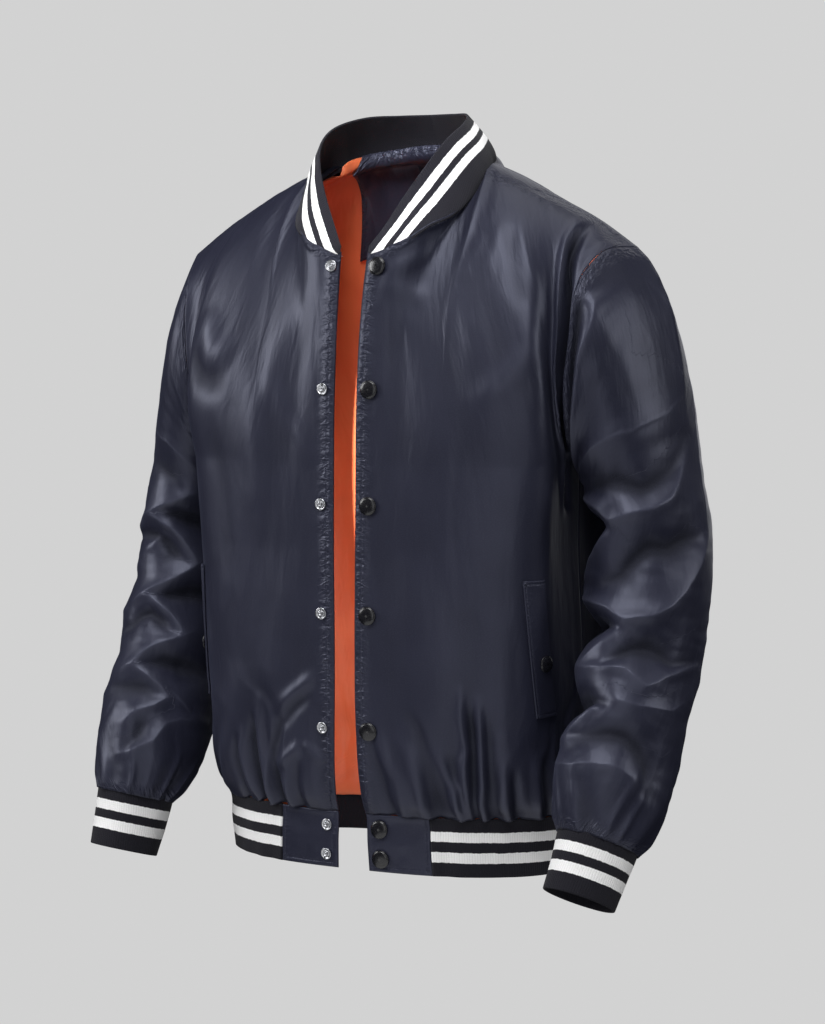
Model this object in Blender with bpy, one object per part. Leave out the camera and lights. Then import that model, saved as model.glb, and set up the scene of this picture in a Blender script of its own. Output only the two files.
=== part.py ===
"""Varsity jacket, standing filled out as if worn and open at the front.

Metres, +Z up. The front faces -Y and the wearer's left is +X. The origin is at the height of the
shoulder seams' neck ends, in the middle of the neck, where the wearer's shoulders hold the jacket.
Every piece is a wall of cloth with a hollow behind it, cut where a maker cuts it.
"""

import math

import bpy
import numpy as np

# ---------------------------------------------------------------- driving sizes
SHELL = 0.0012          # satin outer cloth
LINING = 0.0010         # lining cloth
RIB = 0.0024            # rib knit of collar, cuffs and hem
SEAM = 0.0003           # gap between pieces that are sewn together
LAYER = 0.0010          # gap between a panel and what lies on or behind it
LINING_BAG = 0.020      # how far the lining bags down inside the hem band
LINING_DRAW = 0.004     # how much further in its lower edge is drawn
LINING_HANG = 0.003     # gap between the hem band and the lining inside it

CHEST_Z = -0.280        # height of the armhole's lowest point
HEM_Z = -0.6080         # seam between body and hem band
BAND_BOTTOM_Z = -0.664  # lower edge of the hem band
TAB_WIDTH = 0.064       # plain tab at each front end of the hem band
NECK_SHARE = 0.307      # share of a panel's width taken by the neckline at its top
NECK_BULGE = 0.014      # how far a front's columns bow out round the neck
NECK_BULGE_FROM = 0.35  # share of the way up a column where that bow starts
BACK_DROP = 0.008       # how much lower the hem hangs at the back than in front
DROP_START = -0.12      # where that drop starts, front to back
DROP_SPAN = 0.22        # and how far on it is whole
PINCH_SPREAD = 0.44     # how far round from the side the drawing-in reaches, in radians

UPPER_ROWS = 8          # rows of faces from the armhole's lowest point to the shoulder
LOWER_SHARES = (0.0, 0.045, 0.12, 0.33, 0.64, 1.0)  # rows from the hem seam to the armhole
LOWER_ROWS = len(LOWER_SHARES) - 1
FRONT_COLUMNS = (5, 6)  # columns of faces within the neckline's width and beyond it
BACK_COLUMNS = (3, 6)   # the same over half the back
SWING_ROWS = 7          # rows of a sleeve from the armhole to its first section
SLEEVE_ROWS = 18
RIB_COLUMNS = 30
COLLAR_SPLIT = 3        # columns of the collar to each column of the panels below it
COLLAR_ROWS = 4
COLLAR_FOOT = 0.0015    # how far above the neckline the collar starts
COLLAR_FULLNESS = 0.004  # how far it bows out between its seam and its edge
COLLAR_CENTRE = -0.03   # depth of the axis that it bows away from
BAND_ROWS = 3
TAB_COLUMNS = 5
CURVE_POINTS = 400      # points read along a section before it is shared out

# Horizontal sections of the body. pinch draws the side in, where the arm hangs.
#  z       half_width front  back   roundness pinch
BODY_SECTIONS = (
    (-0.280, 0.209, 0.138, 0.120, 0.55, 0.160),
    (-0.360, 0.201, 0.139, 0.122, 0.56, 0.130),
    (-0.450, 0.195, 0.139, 0.122, 0.58, 0.080),
    (-0.530, 0.190, 0.138, 0.121, 0.62, 0.035),
    (-0.573, 0.188, 0.135, 0.118, 0.66, 0.015),
    (-0.596, 0.186, 0.130, 0.112, 0.72, 0.010),
    (-0.608, 0.181, 0.125, 0.107, 0.75, 0.000),
    (-0.636, 0.178, 0.124, 0.105, 0.75, 0.000),
    (-0.664, 0.175, 0.122, 0.103, 0.75, 0.000),
)

# Half the open gap between the two fronts.
#  z       half_gap
FRONT_GAP = (
    (-0.664, 0.0165),
    (-0.608, 0.0145),
    (-0.530, 0.0115),
    (-0.320, 0.0115),
    (-0.200, 0.0115),
)

# How round the chest and the back turn over into the shoulder, across a panel from its middle: 1
# is an ellipse and less is squarer.
#  across front back
TURNOVER = (
    (0.00, 0.58, 0.58),
    (0.08, 0.60, 0.60),
    (0.16, 0.80, 0.68),
    (0.24, 1.00, 0.76),
    (0.31, 1.15, 0.82),
    (0.42, 1.05, 0.84),
    (0.60, 0.92, 0.82),
    (1.00, 0.75, 0.75),
)

# Ridge of the shoulder, from the middle of the neck out to the top of the armhole. The second row
# is the neck end of the shoulder seam.
#  x       y       z
SHOULDER_RIDGE = (
    (0.000, 0.002, 0.022),
    (0.080, 0.005, 0.000),
    (0.116, 0.006, -0.015),
    (0.151, 0.008, -0.034),
    (0.194, 0.010, -0.057),
    (0.228, 0.012, -0.081),
)

# Armhole edge of a front and of the back, share 0 at its lowest point and 1 at the shoulder.
#  share   x       y       z
FRONT_ARMHOLE = (
    (0.00, 0.1756, 0.000, -0.280),
    (0.14, 0.1870, -0.055, -0.262),
    (0.30, 0.1960, -0.086, -0.215),
    (0.48, 0.2020, -0.088, -0.163),
    (0.66, 0.2050, -0.080, -0.122),
    (0.78, 0.2090, -0.064, -0.101),
    (0.88, 0.2170, -0.039, -0.0845),
    (1.00, 0.2280, 0.012, -0.081),
)
BACK_ARMHOLE = (
    (0.00, 0.1756, 0.000, -0.280),
    (0.14, 0.1860, 0.040, -0.262),
    (0.30, 0.1940, 0.070, -0.215),
    (0.48, 0.1980, 0.082, -0.165),
    (0.66, 0.2010, 0.080, -0.126),
    (0.80, 0.2070, 0.066, -0.103),
    (0.90, 0.2150, 0.045, -0.091),
    (1.00, 0.2280, 0.012, -0.081),
)

# Neckline of a front and of the back, by the share of the neckline's width from the middle.
#  share   x       y       z
FRONT_NECKLINE = (
    (0.00, 0.0140, -0.1180, -0.0860),
    (0.17, 0.0465, -0.1160, -0.0765),
    (0.33, 0.0695, -0.1020, -0.0605),
    (0.49, 0.0835, -0.0780, -0.0497),
    (0.63, 0.0878, -0.0560, -0.0360),
    (0.84, 0.0866, -0.0220, -0.0145),
    (1.00, 0.0800, 0.0050, 0.0000),
)
BACK_NECKLINE = (
    (0.00, 0.0000, 0.0500, 0.0170),
    (0.33, 0.0340, 0.0475, 0.0158),
    (0.67, 0.0650, 0.0350, 0.0105),
    (0.85, 0.0765, 0.0215, 0.0055),
    (1.00, 0.0800, 0.0050, 0.0000),
)

# Upper edge of the collar, from the front end to the middle of the back.
#  share   x       y       z
COLLAR_EDGE = (
    (0.00, 0.0146, -0.1180, -0.0805),
    (0.10, 0.0255, -0.1085, -0.0625),
    (0.20, 0.0380, -0.1005, -0.0400),
    (0.35, 0.0560, -0.0835, -0.0065),
    (0.50, 0.0670, -0.0600, 0.0195),
    (0.62, 0.0690, -0.0290, 0.0355),
    (0.75, 0.0545, 0.0070, 0.0465),
    (0.88, 0.0285, 0.0310, 0.0490),
    (1.00, 0.0000, 0.0410, 0.0495),
)

# Sections of a sleeve below the armhole. tilt raises the outer side, bend turns the section to
# face along the forearm; across and deep are half sizes sideways and front to back.
#  x      y       z       tilt  bend  across deep
SLEEVE_SECTIONS = (
    (0.232, 0.010, -0.298, 22.0, 0.0, 0.0510, 0.0830),
    (0.243, 0.009, -0.350, 8.0, 2.0, 0.0530, 0.0820),
    (0.249, -0.001, -0.410, 0.0, 12.0, 0.0530, 0.0780),
    (0.253, -0.030, -0.470, 0.0, 22.0, 0.0520, 0.0710),
    (0.253, -0.062, -0.525, 0.0, 27.0, 0.0510, 0.0640),
    (0.251, -0.086, -0.570, 0.0, 29.0, 0.0500, 0.0570),
    (0.248, -0.099, -0.595, 0.0, 29.0, 0.0450, 0.0470),
    (0.246, -0.106, -0.610, 0.0, 29.0, 0.0372, 0.0372),
)
# How each sleeve hangs off that: outwards, back and up, and how far its section turns over
# outwards and forwards, by how far down the sleeve it is.
#  down   out     back    up      tilt   bend
HANG = {
    "left": (
        (0.20, 0.005, 0.000, 0.000, 0.0, 0.0),
        (0.32, 0.001, 0.000, 0.000, -1.0, -0.4),
        (0.54, -0.004, -0.001, -0.001, -2.7, -1.1),
        (0.80, -0.002, -0.003, -0.003, -6.0, -2.5),
        (1.00, -0.002, -0.004, -0.004, -9.2, -3.7),
    ),
    "right": (
        (0.20, 0.000, 0.000, 0.000, 0.0, 0.0),
        (0.50, -0.001, 0.008, 0.000, 1.4, -3.5),
        (0.77, 0.000, 0.007, 0.000, 3.4, -9.0),
        (1.00, 0.005, 0.000, -0.002, 5.7, -14.0),
    ),
}
# How far a sleeve swings out as it leaves the armhole, on its inner side and on its outer side.
#  side     inner outer
SWING = {"left": (0.34, 0.84), "right": (0.34, 0.50)}
SLEEVE_AHEAD = 0.22     # how far it leans forwards and backwards there
SLEEVE_DOWN = 0.90      # how far it falls there
CUFF_LENGTH = 0.058
CUFF_END_RADIUS = 0.0330
CUFF_SHARES = (0.0, 0.25, 0.6, 1.0)  # rows of a cuff
CUFF_TAPER = 0.8        # under 1 tapers sooner

# Large folds round the elbow: how far down the sleeve, round the arm from the outside towards
# the front, half height, half width and depth.
#  down   round  height width  depth
ELBOW_FOLDS = (
    (0.47, 150.0, 0.030, 55.0, 0.010),
    (0.62, 140.0, 0.032, 60.0, 0.010),
    (0.76, 135.0, 0.028, 55.0, 0.009),
    (0.55, 300.0, 0.035, 60.0, 0.007),
    (0.70, 250.0, 0.035, 60.0, 0.007),
)

# Snaps down the fronts and on the hem tabs.
#  height  cap inset  stud inset, both from the front edge
FRONT_SNAPS = (
    (-0.0990, 0.0135, 0.0095),
    (-0.2125, 0.0135, 0.0130),
    (-0.3190, 0.0135, 0.0135),
    (-0.4205, 0.0135, 0.0135),
    (-0.5280, 0.0135, 0.0130),
)
TAB_SNAPS = ((-0.6220, 0.0135, 0.0125), (-0.6500, 0.0135, 0.0125))
CAP_RADIUS = 0.0088
CAP_RISE = 0.0052
STUD_RADIUS = 0.0056
STUD_RISE = 0.0030
SNAP_SEGMENTS = 10
# Profiles turned about the snap's axis, as shares of its radius and of its rise.
CAP_PROFILE = ((0.86, 0.0), (1.0, 0.30), (0.90, 0.75), (0.45, 1.0))
STUD_PROFILE = ((1.0, 0.0), (1.0, 0.35), (0.60, 0.50), (0.52, 1.0))

# Pocket welt corners on a front: distance round from the front edge, and height.
WELT_TOP = (0.162, 0.186, -0.384)
WELT_BOTTOM = (0.176, 0.203, -0.512)
WELT_GAP = 0.0011
WELT_RISE = 0.0022
WELT_FACES = 4          # faces along it and across it
POCKET_SNAP_RADIUS = 0.0078
POCKET_SNAP_RISE = 0.0036
POCKET_SNAP_SHARE = 0.59    # how far down the welt it sits
POCKET_SNAP_OFFSET = 0.002  # and how far off its middle

PATCH_HALF_WIDTHS = (0.1050, 0.0700)  # navy patch inside the back neck, at its foot and its top
PATCH_GAP = 0.0034                  # between it and the lining, where the two are faceted unlike
PATCH_ROWS = 4                      # rows of the back it takes, down from the neckline
PATCH_LEAST_FACE = 0.003            # narrowest face left beside a column of the back
SHARED_FROM = -0.2                  # how alike two normals are before panel and sleeve share one
SHARED_SPAN = 0.6                   # and how much more alike once they share it wholly

# ---------------------------------------------------------------- colours
#  name      red    green  blue   roughness metallic
FINISHES = {
    "satin": (0.027, 0.030, 0.052, 0.42, 0.0),
    "lining": (0.85, 0.13, 0.035, 0.55, 0.0),
    "rib": (0.022, 0.021, 0.024, 0.90, 0.0),
    "cap": (0.012, 0.012, 0.014, 0.25, 0.3),
    "stud": (0.62, 0.62, 0.64, 0.28, 1.0),
}


# ---------------------------------------------------------------- helpers
def clear_scene():
    for old in list(bpy.data.objects):
        bpy.data.objects.remove(old, do_unlink=True)


def unit(vectors):
    return vectors / np.linalg.norm(vectors, axis=-1, keepdims=True)


def smooth(table, column, at):
    """Smooth reading of one column of a table at places along its first column: cubic pieces whose
    slope at each row is the slope between its neighbours."""
    rows = np.array(sorted(table), dtype=float)
    place, value = rows[:, 0], rows[:, column]
    step = np.diff(place)
    slope = np.diff(value) / step
    tangent = np.empty(len(place))
    tangent[1:-1] = (slope[:-1] * step[1:] + slope[1:] * step[:-1]) / (step[1:] + step[:-1])
    tangent[0], tangent[-1] = slope[0], slope[-1]
    at = np.clip(np.asarray(at, dtype=float), place[0], place[-1])
    left = np.clip(np.searchsorted(place, at) - 1, 0, len(step) - 1)
    t = (at - place[left]) / step[left]
    ease = t * t * (3 - 2 * t)
    rise = value[left] + (value[left + 1] - value[left]) * ease
    lead = t * (1 - t) ** 2 * tangent[left] - t * t * (1 - t) * tangent[left + 1]
    return rise + step[left] * lead


def table_points(table, at):
    return np.stack([smooth(table, column, at) for column in (1, 2, 3)], axis=-1)


def along(points, shares):
    """The points at these shares of a polyline's length."""
    length = np.concatenate([[0.0], np.cumsum(np.linalg.norm(np.diff(points, axis=0), axis=1))])
    at = shares * length[-1]
    return np.stack([np.interp(at, length, points[:, axis]) for axis in range(3)], axis=-1)


def section(z, side):
    """One quarter of the body's section at height z, from the middle (front side -1, back side 1)
    out to the side seam: a squared ellipse, drawn in where the arm hangs."""
    wide, front, back = (smooth(BODY_SECTIONS, column, z) for column in (1, 2, 3))
    roundness, pinch = (smooth(BODY_SECTIONS, column, z) for column in (4, 5))
    turn = np.linspace(0.0, math.pi / 2, CURVE_POINTS) ** 2 / (math.pi / 2)
    drawn_in = 1 - pinch * np.exp(-(((turn - math.pi / 2) / PINCH_SPREAD) ** 2))
    x = wide * np.sin(turn) ** roundness * drawn_in
    y = side * (front if side < 0 else back) * np.cos(turn) ** roundness
    return np.stack([x, y, np.full_like(x, z)], axis=-1)


def section_from(z, side, start_x):
    """The same quarter, starting where x is start_x."""
    line = section(z, side)
    start = np.array([start_x, np.interp(start_x, line[:, 0], line[:, 1]), z])
    return np.vstack([start, line[line[:, 0] > start_x + 1e-5]])


def panel_shares(inside, outside):
    """Columns of a panel: so many faces within the neckline's width and so many beyond it."""
    return np.concatenate([
        np.linspace(0.0, NECK_SHARE, inside + 1),
        np.linspace(NECK_SHARE, 1.0, outside + 1)[1:],
    ])


def ridge_place(k, start_x):
    """Where each column meets the shoulder ridge: the neckline's width is shared among the inner
    columns, and the shoulder seam's length among the outer ones."""
    neck_x, end_x = SHOULDER_RIDGE[1][0], SHOULDER_RIDGE[-1][0]
    inner = start_x + (neck_x - start_x) * k / NECK_SHARE
    outer = neck_x + (end_x - neck_x) * (k - NECK_SHARE) / (1 - NECK_SHARE)
    x = np.where(k < NECK_SHARE, inner, outer)
    return np.stack([x, smooth(SHOULDER_RIDGE, 1, x), smooth(SHOULDER_RIDGE, 2, x)], axis=-1)


def shoulder_patch(k, chest_row, armhole, neckline, start_x, bulge, roundness):
    """The part of a panel above the armhole's lowest point. Each column leaves the chest upright and
    turns over to the shoulder ridge as a squared quarter ellipse, as round as that column of
    TURNOVER says. Columns inside the neckline stop at it, columns near it bow out by the bulge,
    and the outer ones lean over to the armhole edge."""
    ridge = ridge_place(k, start_x)
    inside = np.clip(k / NECK_SHARE, 0.0, 1.0)
    top = table_points(neckline, inside)
    reached = np.clip((top[:, 2] - CHEST_Z) / (ridge[:, 2] - CHEST_Z), 0.0, 1.0)
    top_share = np.where(inside < 1, np.arcsin(reached) / (math.pi / 2), 1.0)
    rows = np.linspace(0.0, 1.0, UPPER_ROWS + 1)[:, None]
    share = rows * top_share[None, :]

    def blend(low, high, square):
        turn = share * math.pi / 2
        weights = np.stack([np.cos(turn) ** 2, np.cos(turn) ** square, 1 - np.sin(turn)], axis=-1)
        return low * weights + high * (1 - weights)

    grid = blend(chest_row[None, :, :], ridge[None, :, :], smooth(TURNOVER, roundness, k))
    near = np.where(k < NECK_SHARE, inside, (1 - k) / (1 - NECK_SHARE))
    bowed = np.clip((share - NECK_BULGE_FROM) / (1 - NECK_BULGE_FROM), 0.0, 1.0)
    grid[:, :, 0] += bulge * near ** 2 * np.sin(math.pi * bowed)
    cut = np.where(inside < 1, 1.0, 0.0)[:, None] * (top - grid[-1])
    grid = grid + cut * rows[:, :, None] ** 3
    edge = table_points(armhole, share)
    edge_base = blend(chest_row[-1], ridge[-1], TURNOVER[-1][roundness])
    return grid + (edge - edge_base) * (k[None, :, None] ** 3)


def dropped(points):
    """Points of the body or its hem band, let down towards the back and towards the hem."""
    back = np.clip((points[..., 1] - DROP_START) / DROP_SPAN, 0.0, 1.0)
    low = np.clip((CHEST_Z - points[..., 2]) / (CHEST_Z - HEM_Z), 0.0, 1.0)
    moved = points.copy()
    moved[..., 2] -= BACK_DROP * back * back * (3 - 2 * back) * low
    return moved


def lower_rows(line_at, k):
    """Rows of a panel from the hem seam up to the armhole's lowest point, each shared out by k."""
    heights = HEM_Z + SEAM + (CHEST_Z - HEM_Z - SEAM) * np.array(LOWER_SHARES)
    return np.array([along(line_at(z), k) for z in heights])


def front_grid(k=panel_shares(*FRONT_COLUMNS)):
    """Outer face of the wearer's left front: rows from the hem seam up, columns from the front edge
    to the side seam and armhole."""
    lower = lower_rows(lambda z: section_from(z, -1, float(smooth(FRONT_GAP, 1, z))), k)
    start_x = float(smooth(FRONT_GAP, 1, CHEST_Z))
    upper = shoulder_patch(k, lower[-1], FRONT_ARMHOLE, FRONT_NECKLINE, start_x, NECK_BULGE, 1)
    return dropped(np.concatenate([lower, upper[1:]]))


def half_back_grid(k=panel_shares(*BACK_COLUMNS)):
    """Outer face of the wearer's left half of the back, columns from the middle to the side."""
    lower = lower_rows(lambda z: section(z, 1), k)
    upper = shoulder_patch(k, lower[-1], BACK_ARMHOLE, BACK_NECKLINE, 0.0, 0.0, 2)
    return dropped(np.concatenate([lower, upper[1:]]))


def mirrored(points):
    return points * np.array([-1.0, 1.0, 1.0])


def sleeve_ring(row, angles, side, down):
    """One section of the sleeve, angle 0 on the outside and a quarter turn at the front, moved and
    turned by the hang of its side for a share of the way down."""
    x, y, z, tilt, bend = np.array(row[:5]) + [float(smooth(HANG[side], i, down)) for i in range(1, 6)]
    across, deep = row[5:]
    tilt, bend = math.radians(tilt), math.radians(bend)
    out = np.array([math.cos(tilt), 0.0, math.sin(tilt)])
    ahead = np.array([0.0, -math.cos(bend), math.sin(bend)])
    centre = np.array([x, y, z])
    return centre + across * np.cos(angles)[:, None] * out + deep * np.sin(angles)[:, None] * ahead


def armhole_ring():
    """Armhole edge of front and back as one ring: from the shoulder down the front and up the back."""
    share = np.linspace(0.0, 1.0, UPPER_ROWS + 1)
    front = table_points(FRONT_ARMHOLE, share)[::-1]
    back = table_points(BACK_ARMHOLE, share)
    return np.concatenate([front, back[1:-1]])


def sleeve_grid(side):
    """Outer face of one sleeve, as on the left: rows from the armhole down, columns round the arm.
    The first stretch leaves the armhole outwards and turns down; below it each column is a smooth
    curve through the sections."""
    count = 2 * UPPER_ROWS
    angles = 2 * math.pi * np.arange(count) / count
    hole = armhole_ring()
    downs = np.linspace(0.2, 1.0, len(SLEEVE_SECTIONS))
    rings = np.array([sleeve_ring(row, angles, side, down) for row, down in zip(SLEEVE_SECTIONS, downs)])
    outwards = SWING[side][0] + (SWING[side][1] - SWING[side][0]) * (1 + np.cos(angles)) / 2
    ahead = -SLEEVE_AHEAD * np.sin(angles)
    leave = unit(np.stack([outwards, ahead, np.full(count, -SLEEVE_DOWN)], axis=-1))
    arrive = unit(rings[1] - rings[0])
    reach = np.linalg.norm(rings[0] - hole, axis=1, keepdims=True)
    start = hole + leave * (SEAM * 2)
    rows = []
    for t in np.linspace(0.0, 1.0, SWING_ROWS + 1):
        value = (1 + 2 * t) * (1 - t) ** 2 * start + t * t * (3 - 2 * t) * rings[0]
        value = value + t * (1 - t) ** 2 * leave * reach - t * t * (1 - t) * arrive * reach
        rows.append(value)
    down = np.linspace(0.0, len(rings) - 1.0, SLEEVE_ROWS - SWING_ROWS + 1)[1:]
    base = np.arange(len(rings), dtype=float)
    flat = rings.reshape(len(rings), -1)
    lower = np.empty((len(down), flat.shape[1]))
    for column in range(flat.shape[1]):
        lower[:, column] = smooth(np.stack([base, flat[:, column]], axis=-1).tolist(), 1, down)
    grid = np.concatenate([np.array(rows), lower.reshape(len(down), count, 3)])
    return with_folds(grid, angles)


def with_folds(grid, angles):
    """Pulls the sleeve in along the large folds round the elbow."""
    middle = grid.mean(axis=1, keepdims=True)
    down = np.linspace(0.0, 1.0, len(grid))[:, None]
    pull = np.zeros(grid.shape[:2])
    for place, turn, height, width, depth in ELBOW_FOLDS:
        apart = (np.degrees(angles)[None, :] - turn + 180) % 360 - 180
        pull += depth * np.exp(-(((down - place) / height) ** 2) - (apart / width) ** 2)
    reach = np.linalg.norm(grid - middle, axis=2)
    return middle + (grid - middle) * (1 - pull / reach)[:, :, None]


def cuff_grid(side):
    """Outer face of one cuff, as on the left, carried on along the forearm from the sleeve's last
    section."""
    row = SLEEVE_SECTIONS[-1]
    count = 2 * UPPER_ROWS
    angles = 2 * math.pi * np.arange(count) / count
    top = sleeve_ring(row, angles, side, 1.0)
    onward = np.cross(top[0] - top.mean(axis=0), top[count // 4] - top.mean(axis=0))
    onward /= np.linalg.norm(onward) * (1 if onward[2] < 0 else -1)
    rings = []
    for share in CUFF_SHARES:
        radius = row[5] + (CUFF_END_RADIUS - row[5]) * share ** CUFF_TAPER
        ring = sleeve_ring(row[:5] + (radius, radius), angles, side, 1.0)
        rings.append(ring + onward * (SEAM + share * (CUFF_LENGTH - SEAM)))
    return np.array(rings)


def neck_half():
    """Left half of the neckline: from the front edge over the shoulder to the middle of the back,
    through the panels' own points with more between them."""
    front = front_grid()[-1, :FRONT_COLUMNS[0] + 1]
    back = half_back_grid()[-1, :BACK_COLUMNS[0]][::-1]
    line = np.concatenate([front, back])
    place = np.arange(len(line))
    at = np.linspace(0.0, place[-1], place[-1] * COLLAR_SPLIT + 1)
    return np.stack([np.interp(at, place, line[:, axis]) for axis in range(3)], axis=-1)


def collar_grid():
    """Outer face of the collar, columns from the left front end round the back to the right one,
    rows from the neckline up to the edge, a little fuller than straight."""
    base = neck_half()
    length = np.concatenate([[0.0], np.cumsum(np.linalg.norm(np.diff(base, axis=0), axis=1))])
    edge = table_points(COLLAR_EDGE, length / length[-1])
    rise = unit(edge - base)
    foot = base + rise * COLLAR_FOOT
    outward = unit((base - np.array([0.0, COLLAR_CENTRE, 0.0])) * np.array([1.0, 1.0, 0.0]))
    rows = []
    for t in np.linspace(0.0, 1.0, COLLAR_ROWS + 1):
        rows.append(foot + (edge - foot) * t + outward * COLLAR_FULLNESS * math.sin(math.pi * t))
    left = np.array(rows)
    return np.concatenate([left, mirrored(left)[:, -2::-1]], axis=1)


def band_ring(z):
    """The hem band's outer line at height z, from the left front end round the back to the right."""
    gap = float(smooth(FRONT_GAP, 1, z))
    front = section_from(z, -1, gap)
    back = section(z, 1)[::-1]
    left = np.concatenate([front, back[1:]])
    return np.concatenate([left, mirrored(left)[-2::-1]])


def part_of(line, start, end, count):
    """Count points along a line between two distances from its start."""
    length = np.concatenate([[0.0], np.cumsum(np.linalg.norm(np.diff(line, axis=0), axis=1))])
    if end <= 0:
        end = length[-1] + end
    at = np.linspace(start, end, count)
    return np.stack([np.interp(at, length, line[:, axis]) for axis in range(3)], axis=-1)


def band_grid(start, end, columns):
    heights = np.linspace(BAND_BOTTOM_Z, HEM_Z - SEAM, BAND_ROWS + 1)
    return dropped(np.array([part_of(band_ring(z), start, end, columns + 1) for z in heights]))


def grid_normals(grid, closed=False):
    """Unit normals of a grid, from its neighbours' differences; columns then rows turn outwards."""
    if closed:
        across = np.roll(grid, -1, axis=1) - np.roll(grid, 1, axis=1)
    else:
        across = np.gradient(grid, axis=1)
    up = np.gradient(grid, axis=0)
    return unit(np.cross(across, up))


def wall(name, finish, grid, normals, thickness, closed=False, lift=0.0):
    """One closed piece of cloth: the grid moved out by lift is its outer face, and its inner face
    lies thickness behind it."""
    rows, columns = grid.shape[:2]
    outer = grid + normals * lift
    inner = outer - normals * thickness
    points = np.concatenate([outer.reshape(-1, 3), inner.reshape(-1, 3)])
    index = np.arange(rows * columns).reshape(rows, columns)
    if closed:
        index = np.concatenate([index, index[:, :1]], axis=1)
    a, b, c, d = index[:-1, :-1], index[:-1, 1:], index[1:, 1:], index[1:, :-1]
    face = np.stack([a, b, c, d], axis=-1).reshape(-1, 4)
    behind = turned_over(face) + rows * columns

    def rim(line):
        low, high = line[:-1], line[1:]
        return np.stack([high, low, low + rows * columns, high + rows * columns], axis=-1)

    rims = [rim(index[0]), rim(index[-1][::-1])]
    if not closed:
        rims += [rim(index[::-1, 0]), rim(index[:, -1])]
    faces = np.concatenate([face, behind] + rims)
    return add_mesh(name, finish, points, faces)


def turned_over(faces):
    """The same faces seen from behind, each still starting at its first corner."""
    return np.roll(faces[:, ::-1], 1, axis=1)


def signed_volume(points, faces):
    a = points[faces[:, 0]]
    total = 0.0
    for i in range(1, faces.shape[1] - 1):
        total += np.einsum("ij,ij->i", a, np.cross(points[faces[:, i]], points[faces[:, i + 1]])).sum()
    return total


def add_mesh(name, finish, points, faces):
    if signed_volume(points, faces) < 0:
        faces = turned_over(faces)
    mesh = bpy.data.meshes.new(name)
    mesh.from_pydata(points.tolist(), [], faces.tolist())
    mesh.materials.append(material(finish, name))
    mesh.shade_smooth()
    mesh.update()
    part = bpy.data.objects.new(name, mesh)
    bpy.context.scene.collection.objects.link(part)
    return part


def material(finish, name):
    red, green, blue, roughness, metallic = FINISHES[finish]
    new = bpy.data.materials.new(finish + "_" + name)
    new.use_nodes = True
    shader = new.node_tree.nodes["Principled BSDF"]
    shader.inputs["Base Color"].default_value = (red, green, blue, 1.0)
    shader.inputs["Roughness"].default_value = roughness
    shader.inputs["Metallic"].default_value = metallic
    return new


def turned(name, finish, shape, radius, rise, place, facing):
    """A round piece turned from a profile about an axis through place."""
    segments = SNAP_SEGMENTS
    profile = np.array(shape) * np.array([radius, rise])
    side = unit(np.cross(facing, np.array([0.0, 0.0, 1.0])))
    up = np.cross(side, facing)
    angles = 2 * math.pi * np.arange(segments) / segments
    spokes = np.cos(angles)[:, None] * side + np.sin(angles)[:, None] * up
    rings = [place + reach * spokes + height * facing for reach, height in profile]
    ends = [[place + profile[end][1] * facing] for end in (0, -1)]
    points = np.concatenate(rings + ends)
    faces = []
    for ring in range(len(profile) - 1):
        for i in range(segments):
            j = (i + 1) % segments
            low, high = ring * segments, (ring + 1) * segments
            faces.append((low + i, low + j, high + j))
            faces.append((low + i, high + j, high + i))
    bottom, top = len(profile) * segments, len(profile) * segments + 1
    for i in range(segments):
        j = (i + 1) % segments
        faces.append((bottom, j, i))
        faces.append((top, (len(profile) - 1) * segments + i, (len(profile) - 1) * segments + j))
    return add_mesh(name, finish, points, np.array(faces))


# ---------------------------------------------------------------- pieces
def sewn_armhole_normals(front_n, back_n, sleeve_n):
    """Where the panels and the sleeve face the same way they share one direction of thickness, so
    that their cut ends stay parallel; where they face each other, under the arm, each keeps its
    own. The back's normals are of the left half, columns from the middle out."""
    first = LOWER_ROWS
    edge_front = front_n[first:, -1][::-1]
    edge_back = back_n[first:, -1]
    panel = np.concatenate([edge_front, edge_back[1:-1]])
    panel[0] = edge_front[0] + edge_back[-1]
    panel[UPPER_ROWS] = edge_front[-1] + edge_back[0]
    panel = unit(panel)
    alike = np.sum(panel * sleeve_n[0], axis=1, keepdims=True)
    mix = np.clip((alike - SHARED_FROM) / SHARED_SPAN, 0.0, 1.0)
    shared = unit(panel + sleeve_n[0])
    on_panel = unit(panel * (1 - mix) + shared * mix)
    sleeve_n[0] = unit(sleeve_n[0] * (1 - mix) + shared * mix)
    front_n[first:, -1] = on_panel[: UPPER_ROWS + 1][::-1]
    back_n[first:, -1] = np.concatenate([on_panel[UPPER_ROWS:], on_panel[:1]])


def drawn_back(grid, amount, rows=False):
    """Shortens a grid by half a seam at its last column, or at its last row."""
    short = grid.copy()
    if rows:
        step = short[-1] - short[-2]
        short[-1] -= unit(step) * amount
    else:
        step = short[:, -1] - short[:, -2]
        short[:, -1] -= unit(step) * amount
    return short


def both_halves(half):
    """A back's left half, its columns from the middle out, and its mirror image as one grid."""
    return np.concatenate([half[:, ::-1], mirrored(half)[:, 1:]], axis=1)


def bagged(grid, normals):
    """A lining's grid and normals: its hem end lies inside the hem band and bags down below it."""
    level = normals[0] * np.array([1.0, 1.0, 0.0])
    hem = grid[0] - level * (RIB + LINING_HANG)
    foot = hem - level * LINING_DRAW - np.array([0.0, 0.0, LINING_BAG])
    return np.concatenate([[foot, hem], grid[1:]]), np.concatenate([normals[:1], normals])


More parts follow.
